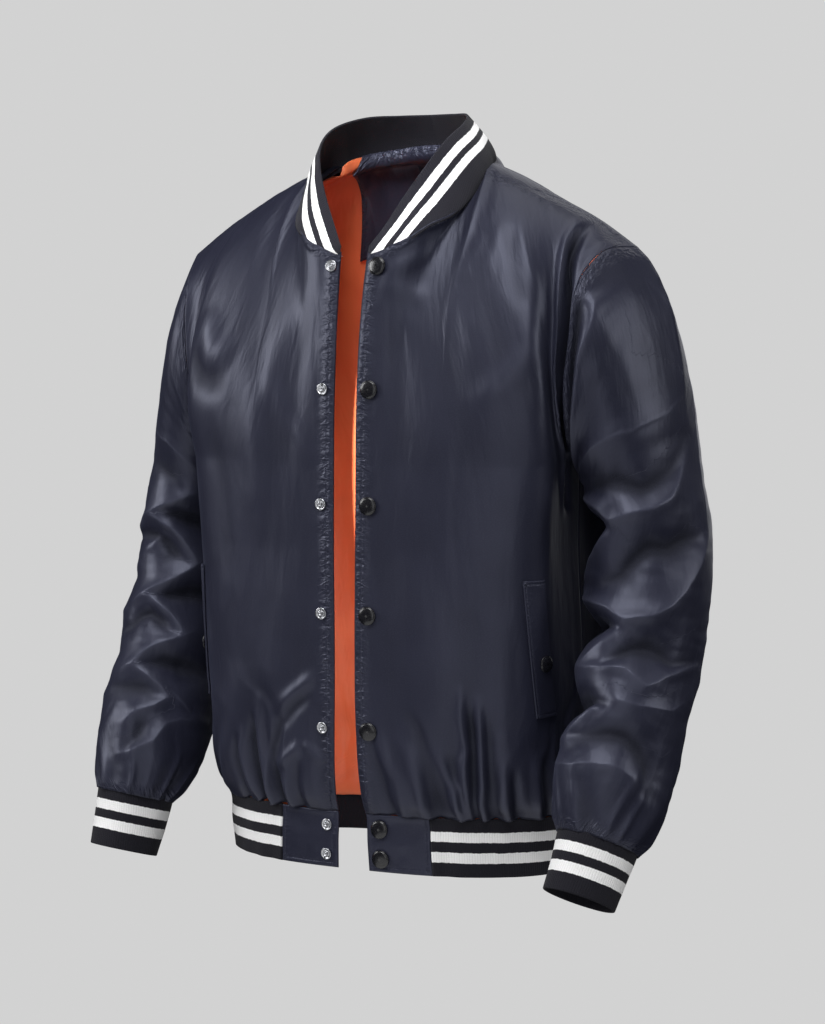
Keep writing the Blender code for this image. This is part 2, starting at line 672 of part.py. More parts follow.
def build_body_and_sleeves():
    front, half_back = front_grid(), half_back_grid()
    front_n, back_n = grid_normals(front), -grid_normals(half_back)
    back_n[:, 0] = unit(back_n[:, 0] * np.array([0.0, 1.0, 1.0]))
    side_seam = unit(front_n[: LOWER_ROWS + 1, -1] + back_n[: LOWER_ROWS + 1, -1])
    front_n[: LOWER_ROWS + 1, -1] = side_seam
    back_n[: LOWER_ROWS + 1, -1] = side_seam
    for normals, inside in ((front_n, FRONT_COLUMNS[0]), (back_n, BACK_COLUMNS[0])):
        normals[-1, :inside] = unit(normals[-1, :inside] + 2 * normals[-2, :inside])
    shoulder_seam = unit(front_n[-1, FRONT_COLUMNS[0]:] + back_n[-1, BACK_COLUMNS[0]:])
    front_n[-1, FRONT_COLUMNS[0]:] = shoulder_seam
    back_n[-1, BACK_COLUMNS[0]:] = shoulder_seam
    front_lining_n, back_lining_n = front_n.copy(), back_n.copy()
    for side, turn_over in (("left", 1.0), ("right", -1.0)):
        place = np.array([turn_over, 1.0, 1.0])
        sleeve = sleeve_grid(side)
        sleeve_n = grid_normals(sleeve, closed=True)
        sewn_armhole_normals(front_n, back_n, sleeve_n)
        wall("sleeve_" + side, "satin", sleeve * place, sleeve_n * place, SHELL, closed=True)
        cuff = cuff_grid(side)
        cuff_n = grid_normals(cuff, closed=True)
        wall("cuff_" + side, "rib", cuff * place, cuff_n * place, RIB, closed=True)

    front = drawn_back(drawn_back(front, SEAM / 2), SEAM / 2, rows=True)
    half_back = drawn_back(drawn_back(half_back, SEAM / 2), SEAM / 2, rows=True)
    behind = -(SHELL + LAYER)
    back, back_n = both_halves(half_back), both_halves(back_n)
    wall("front_left", "satin", front, front_n, SHELL)
    wall("front_right", "satin", mirrored(front), mirrored(front_n), SHELL)
    wall("back", "satin", back, back_n, SHELL)
    bag, bag_n = bagged(front, front_lining_n)
    wall("lining_front_left", "lining", bag, bag_n, LINING, lift=behind)
    wall("lining_front_right", "lining", mirrored(bag), mirrored(bag_n), LINING, lift=behind)
    bag, bag_n = bagged(half_back, back_lining_n)
    wall("lining_back", "lining", both_halves(bag), both_halves(bag_n), LINING, lift=behind)
    return front, front_n, back_lining_n


def row_reading(row, values, x):
    """The values belonging to a row's points, read where the row reaches x."""
    return np.array([np.interp(x, row[:, 0], values[:, axis]) for axis in range(3)])


def build_patch(back_n):
    """Navy patch lying on the lining under the back neck, wider at its foot than at its top. It
    keeps the back's own columns but the last ones, and ends at its width."""
    kept = BACK_COLUMNS[0]
    rows, rows_n = half_back_grid()[-PATCH_ROWS - 1:], back_n[-PATCH_ROWS - 1:]
    half, half_n = rows[:, :kept + 2].copy(), rows_n[:, :kept + 2].copy()
    for i, (row, row_n) in enumerate(zip(rows, rows_n)):
        wide = np.interp(i, (0, PATCH_ROWS), PATCH_HALF_WIDTHS)
        last = [(kept + 1, wide)]
        if wide < row[kept, 0] + PATCH_LEAST_FACE:
            last.append((kept, (row[kept - 1, 0] + wide) / 2))
        for column, x in last:
            half[i, column], half_n[i, column] = row_reading(row, row, x), row_reading(row, row_n, x)
    lift = -(SHELL + LAYER + LINING + PATCH_GAP)
    wall("neck_patch", "satin", both_halves(half), unit(both_halves(half_n)), SHELL, lift=lift)


def build_bands():
    rib = band_grid(TAB_WIDTH + SEAM, -(TAB_WIDTH + SEAM), RIB_COLUMNS)
    wall("hem_rib", "rib", rib, grid_normals(rib), RIB)
    tab = band_grid(0.0, TAB_WIDTH, TAB_COLUMNS)
    tab_n = grid_normals(tab)
    wall("hem_tab_left", "satin", tab, tab_n, RIB)
    wall("hem_tab_right", "satin", mirrored(tab), mirrored(tab_n), RIB)
    collar = collar_grid()
    wall("collar", "rib", collar, grid_normals(collar), RIB)
    return tab, tab_n


def on_grid(grid, normals, distance, z):
    """The point of a front, and its normal, at a height and a distance round from the front edge."""
    lines = []
    for values in (grid, normals):
        flat = []
        for column in range(grid.shape[1]):
            order = np.argsort(grid[:, column, 2])
            heights = grid[order, column, 2]
            flat.append([np.interp(z, heights, values[order, column, axis]) for axis in range(3)])
        lines.append(np.array(flat))
    points, directions = lines
    length = np.concatenate([[0.0], np.cumsum(np.linalg.norm(np.diff(points, axis=0), axis=1))])
    place = np.array([np.interp(distance, length, points[:, axis]) for axis in range(3)])
    facing = np.array([np.interp(distance, length, directions[:, axis]) for axis in range(3)])
    return place, unit(facing)


def build_snaps(front, front_n, tab, tab_n):
    """Snap caps on the wearer's left edge and the studs they close on, on the right edge."""
    spots = [(front, front_n) + row for row in FRONT_SNAPS]
    spots += [(tab, tab_n) + row for row in TAB_SNAPS]
    for number, (grid, normals, z, cap_inset, stud_inset) in enumerate(spots, start=1):
        place, facing = on_grid(grid, normals, cap_inset, z)
        cap, place = f"snap_cap_{number}", place + facing * LAYER
        turned(cap, "cap", CAP_PROFILE, CAP_RADIUS, CAP_RISE, place, facing)
        place, facing = on_grid(grid, normals, stud_inset, z)
        stud, place, facing = f"snap_stud_{number}", mirrored(place + facing * LAYER), mirrored(facing)
        turned(stud, "stud", STUD_PROFILE, STUD_RADIUS, STUD_RISE, place, facing)


def build_pockets(front, front_n):
    """A slanted welt on each front, made from the panel's own points moved out, with a snap cap."""
    grid = np.empty((WELT_FACES + 1, WELT_FACES + 1, 3))
    normals = np.empty_like(grid)
    top, bottom = np.array(WELT_TOP), np.array(WELT_BOTTOM)
    for i, down in enumerate(np.linspace(1.0, 0.0, WELT_FACES + 1)):
        inner, outer, z = top + (bottom - top) * down
        for j, across in enumerate(np.linspace(inner, outer, WELT_FACES + 1)):
            grid[i, j], normals[i, j] = on_grid(front, front_n, across, z)
    lift = WELT_GAP + WELT_RISE
    wall("pocket_welt_left", "satin", grid, normals, WELT_RISE, lift=lift)
    wall("pocket_welt_right", "satin", mirrored(grid), mirrored(normals), WELT_RISE, lift=lift)
    inner, outer, z = top + (bottom - top) * POCKET_SNAP_SHARE
    place, facing = on_grid(front, front_n, (inner + outer) / 2 + POCKET_SNAP_OFFSET, z)
    place = place + facing * (lift + 2 * LAYER)
    size = (POCKET_SNAP_RADIUS, POCKET_SNAP_RISE)
    turned("pocket_snap_left", "cap", CAP_PROFILE, *size, place, facing)
    turned("pocket_snap_right", "cap", CAP_PROFILE, *size, mirrored(place), mirrored(facing))


def build():
    clear_scene()
    front, front_n, back_n = build_body_and_sleeves()
    build_patch(back_n)
    tab, tab_n = build_bands()
    build_snaps(front, front_n, tab, tab_n)
    build_pockets(front, front_n)


build()
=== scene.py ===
# %% [markdown]
# # A satin varsity jacket, filled out as if someone wore it
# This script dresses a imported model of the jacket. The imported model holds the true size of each
# cut piece; here each piece gets its soft shape, its creases, its cloth and its stitching.
# Every surface below is a function of two parameters, worked out as whole numpy arrays.

import math

import bpy
import numpy as np
from mathutils import Matrix


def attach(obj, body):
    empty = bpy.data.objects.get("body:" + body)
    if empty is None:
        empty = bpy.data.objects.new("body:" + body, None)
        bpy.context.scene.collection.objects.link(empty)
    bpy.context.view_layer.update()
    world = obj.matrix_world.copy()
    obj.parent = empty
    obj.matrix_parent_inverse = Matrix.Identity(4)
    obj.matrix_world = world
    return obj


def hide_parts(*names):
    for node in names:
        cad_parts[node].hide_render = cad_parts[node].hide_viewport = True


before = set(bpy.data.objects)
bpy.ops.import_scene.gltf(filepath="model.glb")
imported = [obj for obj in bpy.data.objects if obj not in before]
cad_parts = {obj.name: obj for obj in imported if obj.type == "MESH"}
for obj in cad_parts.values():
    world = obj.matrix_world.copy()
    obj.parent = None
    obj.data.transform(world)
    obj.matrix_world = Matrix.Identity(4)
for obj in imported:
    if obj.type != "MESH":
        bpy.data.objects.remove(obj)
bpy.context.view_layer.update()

# %% [markdown]
# ## Reading sizes from short tables
# A garment's shape changes slowly, so a few measured rows say all of it. `smooth` reads a table
# between its rows: a cubic between each two rows, whose slope at a row is the mean slope around it.

# %% Table reading and small vector helpers
UP = np.array([0.0, 0.0, 1.0])
MIRROR = np.array([-1.0, 1.0, 1.0])
LEVEL = np.array([1.0, 1.0, 0.0])       # takes the height out of a vector


def unit(vectors):
    """Each vector divided by its own length."""
    return vectors / np.maximum(np.linalg.norm(vectors, axis=-1, keepdims=True), 1e-12)


def smooth(table, column, at):
    """Cubic pieces through one column of a table, each with the mean slope at its rows."""
    rows = np.array(sorted(table), dtype=float)
    place, value = rows[:, 0], rows[:, column]
    step = np.diff(place)
    slope = np.diff(value) / step
    tangent = np.empty(len(place))
    tangent[1:-1] = (slope[:-1] * step[1:] + slope[1:] * step[:-1]) / (step[1:] + step[:-1])
    tangent[0], tangent[-1] = slope[0], slope[-1]
    at = np.clip(np.asarray(at, dtype=float), place[0], place[-1])
    left = np.clip(np.searchsorted(place, at) - 1, 0, len(step) - 1)
    t = (at - place[left]) / step[left]
    ease = t * t * (3 - 2 * t)
    rise = value[left] + (value[left + 1] - value[left]) * ease
    lead = t * (1 - t) ** 2 * tangent[left] - t * t * (1 - t) * tangent[left + 1]
    return rise + step[left] * lead


def table_points(table, at):
    """Three columns of a table read together, as points."""
    return np.stack([smooth(table, column, at) for column in (1, 2, 3)], axis=-1)


def lengths(points):
    """Distance along a line of points from its first point."""
    steps = np.linalg.norm(np.diff(points, axis=0), axis=-1)
    return np.concatenate([[0.0], np.cumsum(steps)])


def read_line(points, at):
    """Points at these distances along a line of points."""
    length = lengths(points)
    return np.stack([np.interp(at, length, points[:, axis]) for axis in range(3)], axis=-1)


def ease(t):
    """0 up to 1 with level ends: three t squared less two t cubed."""
    t = np.clip(t, 0.0, 1.0)
    return t * t * (3 - 2 * t)


# %% [markdown]
# ## The cut of the body
# The body is a tube whose level sections are squared ellipses, pinched in at the sides where the
# arms hang. Above the armholes each column of the panel turns over to the shoulder ridge, and the
# neckline and armhole are cut out of it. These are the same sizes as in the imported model, so the
# fine surfaces made here lie where its solids lie.

# %% Sizes of the body
SEAM = 0.0003           # gap between pieces that are sewn together
SHELL = 0.0012          # satin
LINING = 0.0010
RIB = 0.0024            # rib knit
LAYER = 0.0010          # gap between a panel and the lining behind it
CHEST_Z = -0.280        # height of the armhole's lowest point
HEM_Z = -0.6080         # seam between body and hem band
BAND_BOTTOM_Z = -0.664
TAB_WIDTH = 0.064
NECK_SHARE = 0.307      # share of a panel's width that the neckline takes
NECK_BULGE = 0.014
NECK_BULGE_FROM = 0.35
BACK_DROP = 0.008       # how much lower the hem hangs behind
DROP_START, DROP_SPAN = -0.12, 0.22
PINCH_SPREAD = 0.44
SECTION_POINTS = 500
NECK_COLUMNS = 0.36     # share of a panel's columns that lie under the neckline

#  z       half_width front  back   roundness pinch
BODY_SECTIONS = (
    (-0.280, 0.209, 0.138, 0.120, 0.55, 0.160),
    (-0.360, 0.201, 0.139, 0.122, 0.56, 0.130),
    (-0.450, 0.195, 0.139, 0.122, 0.58, 0.080),
    (-0.530, 0.190, 0.138, 0.121, 0.62, 0.035),
    (-0.573, 0.188, 0.135, 0.118, 0.66, 0.015),
    (-0.596, 0.186, 0.130, 0.112, 0.72, 0.010),
    (-0.608, 0.181, 0.125, 0.107, 0.75, 0.000),
    (-0.636, 0.178, 0.124, 0.105, 0.75, 0.000),
    (-0.664, 0.175, 0.122, 0.103, 0.75, 0.000),
)
#  z       half_gap
FRONT_GAP = (
    (-0.664, 0.0165),
    (-0.608, 0.0145),
    (-0.530, 0.0115),
    (-0.320, 0.0115),
    (-0.200, 0.0115),
)
#  across front  back
TURNOVER = (
    (0.00, 0.58, 0.58),
    (0.08, 0.60, 0.60),
    (0.16, 0.80, 0.68),
    (0.24, 1.00, 0.76),
    (0.31, 1.15, 0.82),
    (0.42, 1.05, 0.84),
    (0.60, 0.92, 0.82),
    (1.00, 0.75, 0.75),
)
#  x       y       z
SHOULDER_RIDGE = (
    (0.000, 0.002, 0.022),
    (0.080, 0.005, 0.000),
    (0.116, 0.006, -0.015),
    (0.151, 0.008, -0.034),
    (0.194, 0.010, -0.057),
    (0.228, 0.012, -0.081),
)
#  share   x       y       z
FRONT_ARMHOLE = (
    (0.00, 0.1756, 0.000, -0.280),
    (0.14, 0.1870, -0.055, -0.262),
    (0.30, 0.1960, -0.086, -0.215),
    (0.48, 0.2020, -0.088, -0.163),
    (0.66, 0.2050, -0.080, -0.122),
    (0.78, 0.2090, -0.064, -0.101),
    (0.88, 0.2170, -0.039, -0.0845),
    (1.00, 0.2280, 0.012, -0.081),
)
BACK_ARMHOLE = (
    (0.00, 0.1756, 0.000, -0.280),
    (0.14, 0.1860, 0.040, -0.262),
    (0.30, 0.1940, 0.070, -0.215),
    (0.48, 0.1980, 0.082, -0.165),
    (0.66, 0.2010, 0.080, -0.126),
    (0.80, 0.2070, 0.066, -0.103),
    (0.90, 0.2150, 0.045, -0.091),
    (1.00, 0.2280, 0.012, -0.081),
)
FRONT_NECKLINE = (
    (0.00, 0.0140, -0.1180, -0.0860),
    (0.17, 0.0465, -0.1160, -0.0765),
    (0.33, 0.0695, -0.1020, -0.0605),
    (0.49, 0.0835, -0.0780, -0.0497),
    (0.63, 0.0878, -0.0560, -0.0360),
    (0.84, 0.0866, -0.0220, -0.0145),
    (1.00, 0.0800, 0.0050, 0.0000),
)
BACK_NECKLINE = (
    (0.00, 0.0000, 0.0500, 0.0170),
    (0.33, 0.0340, 0.0475, 0.0158),
    (0.67, 0.0650, 0.0350, 0.0105),
    (0.85, 0.0765, 0.0215, 0.0055),
    (1.00, 0.0800, 0.0050, 0.0000),
)


# %% Level sections of the body
def section(z, side, start_x=0.0):
    """A quarter of the body's section at height z, from the middle (side -1 in front, 1 behind) to
    the side seam: x is width times sine to the roundness, y is depth times cosine to the roundness,
    and x is drawn in by a bell round the side."""
    wide, front, back = (smooth(BODY_SECTIONS, column, z) for column in (1, 2, 3))
    roundness, pinch = (smooth(BODY_SECTIONS, column, z) for column in (4, 5))
    turn = np.linspace(0.0, math.pi / 2, SECTION_POINTS) ** 2 / (math.pi / 2)
    drawn_in = 1 - pinch * np.exp(-(((turn - math.pi / 2) / PINCH_SPREAD) ** 2))
    x = wide * np.sin(turn) ** roundness * drawn_in
    y = side * (front if side < 0 else back) * np.cos(turn) ** roundness
    line = np.stack([x, y, np.full_like(x, z)], axis=-1)
    if start_x:
        first = np.array([start_x, np.interp(start_x, x, y), z])
        line = np.vstack([first, line[x > start_x + 1e-5]])
    return line


def dropped(points):
    """Body points let down towards the back and the hem, by a product of two eased shares."""
    back = ease((points[..., 1] - DROP_START) / DROP_SPAN)
    low = np.clip((CHEST_Z - points[..., 2]) / (CHEST_Z - HEM_Z), 0.0, 1.0)
    return points - (BACK_DROP * back * low)[..., None] * UP


# %% Panels of the body, on any grid
def ridge_place(k, start_x):
    """Where the column at share k meets the shoulder ridge."""
    neck_x, end_x = SHOULDER_RIDGE[1][0], SHOULDER_RIDGE[-1][0]
    inner = start_x + (neck_x - start_x) * k / NECK_SHARE
    outer = neck_x + (end_x - neck_x) * (k - NECK_SHARE) / (1 - NECK_SHARE)
    x = np.where(k < NECK_SHARE, inner, outer)
    return np.stack([x, smooth(SHOULDER_RIDGE, 1, x), smooth(SHOULDER_RIDGE, 2, x)], axis=-1)


def shoulder_patch(k, rows, chest_row, armhole, neckline, start_x, bulge, column):
    """The panel above the armhole's lowest point: each column is a squared quarter ellipse from the
    chest to the ridge, stopped at the neckline inside it and leaning over to the armhole outside."""
    ridge = ridge_place(k, start_x)
    inside = np.clip(k / NECK_SHARE, 0.0, 1.0)
    top = table_points(neckline, inside)
    reached = np.clip((top[:, 2] - CHEST_Z) / (ridge[:, 2] - CHEST_Z), 0.0, 1.0)
    top_share = np.where(inside < 1, np.arcsin(reached) / (math.pi / 2), 1.0)
    share = rows[:, None] * top_share[None, :]

    def blend(low, high, square):
        """A squared quarter ellipse from low to high, read at every share."""
        turn = share * math.pi / 2
        across = np.maximum(np.cos(turn), 0.0)
        weights = np.stack([across ** 2, across ** square, 1 - np.sin(turn)], axis=-1)
        return low * weights + high * (1 - weights)

    grid = blend(chest_row[None], ridge[None], smooth(TURNOVER, column, k))
    near = np.where(k < NECK_SHARE, inside, (1 - k) / (1 - NECK_SHARE))
    bowed = np.clip((share - NECK_BULGE_FROM) / (1 - NECK_BULGE_FROM), 0.0, 1.0)
    grid[:, :, 0] += bulge * near ** 2 * np.sin(math.pi * bowed)
    cut = np.where(inside < 1, 1.0, 0.0)[:, None] * (top - grid[-1])
    grid = grid + cut * rows[:, None, None] ** 3
    edge = table_points(armhole, share)
    edge_base = blend(chest_row[-1], ridge[-1], TURNOVER[-1][column])
    return grid + (edge - edge_base) * (k[None, :, None] ** 3)


def panel(side, k, lower, upper):
    """The wearer's left front (side -1) or left half of the back (side 1): columns at shares k from
    the middle outwards, rows at shares of the height below the armhole and then above it."""
    heights = HEM_Z + SEAM + (CHEST_Z - HEM_Z - SEAM) * lower
    starts = smooth(FRONT_GAP, 1, heights) if side < 0 else np.zeros(len(heights))
    rows = []
    for z, start_x in zip(heights, starts):
        line = section(z, side, start_x)
        rows.append(read_line(line, k * lengths(line)[-1]))
    below = np.array(rows)
    if side < 0:
        cut = (FRONT_ARMHOLE, FRONT_NECKLINE, float(starts[-1]), NECK_BULGE, 1)
    else:
        cut = (BACK_ARMHOLE, BACK_NECKLINE, 0.0, 0.0, 2)
    above = shoulder_patch(k, upper, below[-1], *cut)
    return dropped(np.concatenate([below, above[1:]]))


def panel_columns(count):
    """Shares across a front or half of the back, a little closer together under the neckline."""
    inner = round(count * NECK_COLUMNS)
    return np.concatenate([
        np.linspace(0.0, NECK_SHARE, inner + 1),
        np.linspace(NECK_SHARE, 1.0, count - inner + 1)[1:],
    ])


# %% [markdown]
# ## The sleeves
# A sleeve is a tube that leaves the armhole outwards, turns down and bends forward at the elbow. Its
# sections are ellipses; between the armhole and the first of them it follows a cubic that leaves the
# seam in the sleeve's own direction. The two arms hang a little differently, as arms do.

# %% Sizes of the sleeves
#  x      y       z       tilt  bend  across deep
SLEEVE_SECTIONS = (
    (0.232, 0.010, -0.298, 22.0, 0.0, 0.0510, 0.0830),
    (0.243, 0.009, -0.350, 8.0, 2.0, 0.0530, 0.0820),
    (0.249, -0.001, -0.410, 0.0, 12.0, 0.0530, 0.0780),
    (0.253, -0.030, -0.470, 0.0, 22.0, 0.0520, 0.0710),
    (0.253, -0.062, -0.525, 0.0, 27.0, 0.0510, 0.0640),
    (0.251, -0.086, -0.570, 0.0, 29.0, 0.0500, 0.0570),
    (0.248, -0.099, -0.595, 0.0, 29.0, 0.0450, 0.0470),
    (0.246, -0.106, -0.610, 0.0, 29.0, 0.0372, 0.0372),
)
#  down   out     back    up      tilt   bend
HANG = {
    "left": (
        (0.20, 0.005, 0.000, 0.000, 0.0, 0.0),
        (0.32, 0.001, 0.000, 0.000, -1.0, -0.4),
        (0.54, -0.004, -0.001, -0.001, -2.7, -1.1),
        (0.80, -0.002, -0.003, -0.003, -6.0, -2.5),
        (1.00, -0.002, -0.004, -0.004, -9.2, -3.7),
    ),
    "right": (
        (0.20, 0.000, 0.000, 0.000, 0.0, 0.0),
        (0.50, -0.001, 0.008, 0.000, 1.4, -3.5),
        (0.77, 0.000, 0.007, 0.000, 3.4, -9.0),
        (1.00, 0.005, 0.000, -0.002, 5.7, -14.0),
    ),
}
#  side     inner outer
SWING = {"left": (0.34, 0.84), "right": (0.34, 0.50)}
SLEEVE_AHEAD, SLEEVE_DOWN = 0.22, 0.90
SLEEVE_START = 0.2      # where the first section comes, as a share of the way down
CUFF_LENGTH = 0.058
CUFF_END_RADIUS = 0.0330
CUFF_TAPER = 0.8
HEAD_RINGS, ARM_RINGS = 60, 160     # rings worked out above and below the first section


# %% The plain tube of a sleeve
def sleeve_ring(row, angles, side, down):
    """One section: centre plus across times cosine outwards plus depth times sine forwards."""
    hang = [float(smooth(HANG[side], column, down)) for column in range(1, 6)]
    x, y, z, tilt, bend = np.array(row[:5]) + hang
    tilt, bend = math.radians(tilt), math.radians(bend)
    out = np.array([math.cos(tilt), 0.0, math.sin(tilt)])
    ahead = np.array([0.0, -math.cos(bend), math.sin(bend)])
    cosine, sine = np.cos(angles)[:, None], np.sin(angles)[:, None]
    return np.array([x, y, z]) + row[5] * cosine * out + row[6] * sine * ahead


def sleeve_tube(side, around, rows):
    """The sleeve as on the left: rows of points, evenly spaced down the arm, from the armhole seam
    to the cuff seam; column 0 is outside and a quarter of the way round is in front."""
    angles = 2 * math.pi * np.arange(around) / around
    share = np.linspace(0.0, 1.0, around // 2 + 1)
    front = table_points(FRONT_ARMHOLE, share)[::-1]
    back = table_points(BACK_ARMHOLE, share)
    hole = np.concatenate([front, back[1:-1]])
    downs = np.linspace(SLEEVE_START, 1.0, len(SLEEVE_SECTIONS))
    rings = np.array([
        sleeve_ring(row, angles, side, down) for row, down in zip(SLEEVE_SECTIONS, downs)
    ])
    inner, outer = SWING[side]
    outwards = inner + (outer - inner) * (1 + np.cos(angles)) / 2
    ahead = -SLEEVE_AHEAD * np.sin(angles)
    leave = unit(np.stack([outwards, ahead, np.full(around, -SLEEVE_DOWN)], axis=-1))
    arrive = unit(rings[1] - rings[0])
    reach = np.linalg.norm(rings[0] - hole, axis=1, keepdims=True)
    start = hole + leave * SEAM * 2
    t = np.linspace(0.0, 1.0, HEAD_RINGS)[:, None, None]
    first = (1 + 2 * t) * (1 - t) ** 2 * start + t * t * (3 - 2 * t) * rings[0]
    first = first + t * (1 - t) ** 2 * leave * reach - t * t * (1 - t) * arrive * reach
    base = np.arange(len(rings), dtype=float)
    down = np.linspace(0.0, base[-1], ARM_RINGS)[1:]
    flat = rings.reshape(len(rings), -1)
    lower = np.stack([
        smooth(np.stack([base, column], axis=-1).tolist(), 1, down) for column in flat.T
    ], axis=-1)
    dense = np.concatenate([first, lower.reshape(len(down), around, 3)])
    gone = lengths(dense.mean(axis=1))
    even = np.interp(np.linspace(0.0, gone[-1], rows), gone, np.arange(len(gone)))
    low = np.minimum(even.astype(int), len(dense) - 2)
    part = (even - low)[:, None, None]
    return dense[low] * (1 - part) + dense[low + 1] * part


# %% [markdown]
# ## Creases
# Cloth that is too long for its arm buckles: it makes valleys and crests, and between them it runs
# nearly straight. So each crease is a line on the surface that holds its own height, and any point
# takes a mean of the creases near it, each weighted by how near it is. Between two lines that gives
# a straight slope, and at a line it gives a crisp fold. A small blur then rounds the folds off.

# %% A field of creases
CREASE_REACH = 40.0     # mm over which a crease's say fades
CREASE_BLUNT = 0.8      # mm added to a distance, so a crest isn't a point
UNCREASED = 0.014       # weight of the cloth between creases
VERY_FAR = 1e9


def line_reading(x, y, line):
    """Distance from each point to a line of (x, y, height) rows, the height where it is nearest,
    and the side it lies on there, -1 or 1."""
    nearest = np.full(x.shape, VERY_FAR)
    height, side = np.zeros(x.shape), np.ones(x.shape)
    for (x0, y0, h0), (x1, y1, h1) in zip(line[:-1], line[1:]):
        dx, dy = x1 - x0, y1 - y0
        t = np.clip(((x - x0) * dx + (y - y0) * dy) / (dx * dx + dy * dy), 0.0, 1.0)
        apart = np.hypot(x - x0 - t * dx, y - y0 - t * dy)
        closer = apart < nearest
        nearest = np.where(closer, apart, nearest)
        height = np.where(closer, h0 + (h1 - h0) * t, height)
        side = np.where(closer, np.where((x - x0) * dy - (y - y0) * dx < 0, -1.0, 1.0), side)
    return nearest, height, side


def with_shares(line):
    """A line's points, each with the share of its length gone there."""
    points = np.array(line, dtype=float)[:, :2]
    gone = lengths(points)
    return np.column_stack([points, gone / gone[-1]])


def near_line(x, line, around):
    """Places round a tube, moved by whole turns to lie nearest a line; off a tube, around is 0 and
    they stay."""
    if not around:
        return x
    middle = sum(point[0] for point in line) / len(line)
    return (x - middle + around / 2) % around - around / 2 + middle


def creased(x, y, lines, around):
    """Height field in mm round a tube: the mean of the lines' heights, each weighted by e to the
    minus distance over reach, divided by distance. Around is the measure of a whole turn."""
    weights = np.full(x.shape, UNCREASED)
    heights = np.zeros(x.shape)
    for line in lines:
        apart, height, _ = line_reading(near_line(x, line, around), y, line)
        weight = np.exp(-apart / CREASE_REACH) / (apart + CREASE_BLUNT)
        weights = weights + weight
        heights = heights + weight * height
    return heights / weights


def strokes(x, y, rows):
    """Sum of soft folds in mm. A row is height, half width, and the points of its line; a fold fades
    in and out along its line as the sine of the share gone, times 1.5 and cut off at 1, and falls
    off across it as a bell."""
    total = np.zeros(x.shape)
    for height, width, line in rows:
        apart, share, _ = line_reading(x, y, with_shares(line))
        fade = np.clip(1.5 * np.sin(math.pi * np.clip(share, 0.0, 1.0)), 0.0, 1.0)
        total += height * fade * np.exp(-((apart / width) ** 2))
    return total


def crease_map(x, y, lines, around=0.0):
    """The Crease map: signed distance in metres from the nearest line of (x, y) points in mm, and
    its strength there, which fades in and out along the line as a root of the sine of its share."""
    nearest = np.full(x.shape, VERY_FAR)
    signed, strength = np.ones(x.shape), np.zeros(x.shape)
    for line in lines:
        apart, share, side = line_reading(near_line(x, line, around), y, with_shares(line))
        closer = apart < nearest
        nearest = np.where(closer, apart, nearest)
        signed = np.where(closer, side * apart / 1000, signed)
        strength = np.where(closer, np.sqrt(np.sin(math.pi * share).clip(0)), strength)
    return np.stack([signed, strength], axis=-1)


# %% Blur and noise on a grid
LATTICE = 64            # random heights along each side of the noise, before it repeats


def blurred(field, sigma, closed=False):
    """A bell-weighted mean along both directions of a grid; a closed grid wraps its columns."""
    reach = max(1, int(3 * sigma))
    offsets = np.arange(-reach, reach + 1)
    bell = np.exp(-0.5 * (offsets / sigma) ** 2)
    bell /= bell.sum()
    rows = np.pad(field, ((reach, reach), (0, 0)), mode="edge")
    field = sum(b * rows[i:i + field.shape[0]] for i, b in enumerate(bell))
    columns = np.pad(field, ((0, 0), (reach, reach)), mode="wrap" if closed else "edge")
    return sum(b * columns[:, i:i + field.shape[1]] for i, b in enumerate(bell))


def relief(height, closed=False, spread=7.0, depth=4.5):
    """How far each point lies below the cloth around it, and how far above, as shares from 0 to 1
    of a depth in mm."""
    off = height - blurred(height, spread, closed)
    return np.stack([np.clip(-off / depth, 0.0, 1.0), np.clip(off / depth, 0.0, 1.0)], axis=-1)


def noise(x, y, seed, around=0):
    """Smooth noise from -1 to 1: random heights at whole numbers, eased between. Where around is
    given, x repeats after that many steps."""
    lattice = np.random.default_rng(seed).uniform(-1.0, 1.0, (LATTICE, LATTICE))
    x0, y0 = np.floor(x).astype(int), np.floor(y).astype(int)
    tx, ty = ease(x - x0), ease(y - y0)
    wrap = around or LATTICE

    def at(i, j):
        """The random heights i and j steps on from each point's own cell."""
        return lattice[(x0 + i) % wrap % LATTICE, (y0 + j) % LATTICE]

    low = at(0, 0) * (1 - tx) + at(1, 0) * tx
    high = at(0, 1) * (1 - tx) + at(1, 1) * tx
    return low * (1 - ty) + high * ty


def grid_normals(grid, closed=False):
    """Unit normals of a grid: the cross product of its two directions' differences."""
    if closed:
        across = np.roll(grid, -1, axis=1) - np.roll(grid, 1, axis=1)
    else:
        across = np.gradient(grid, axis=1)
    return unit(np.cross(across, np.gradient(grid, axis=0)))


def outward(grid, normals):
    """The same normals, turned as a whole to face away from the middle of the grid's axis."""
    away = (grid - grid.mean(axis=(0, 1))) * LEVEL
    return normals if (away * normals).sum() > 0 else -normals


def tube_normals(grid):
    """Normals of a closed grid, facing away from its own middle line."""
    normals = grid_normals(grid, closed=True)
    away = grid - grid.mean(axis=1, keepdims=True)
    return normals if (away * normals).sum() > 0 else -normals
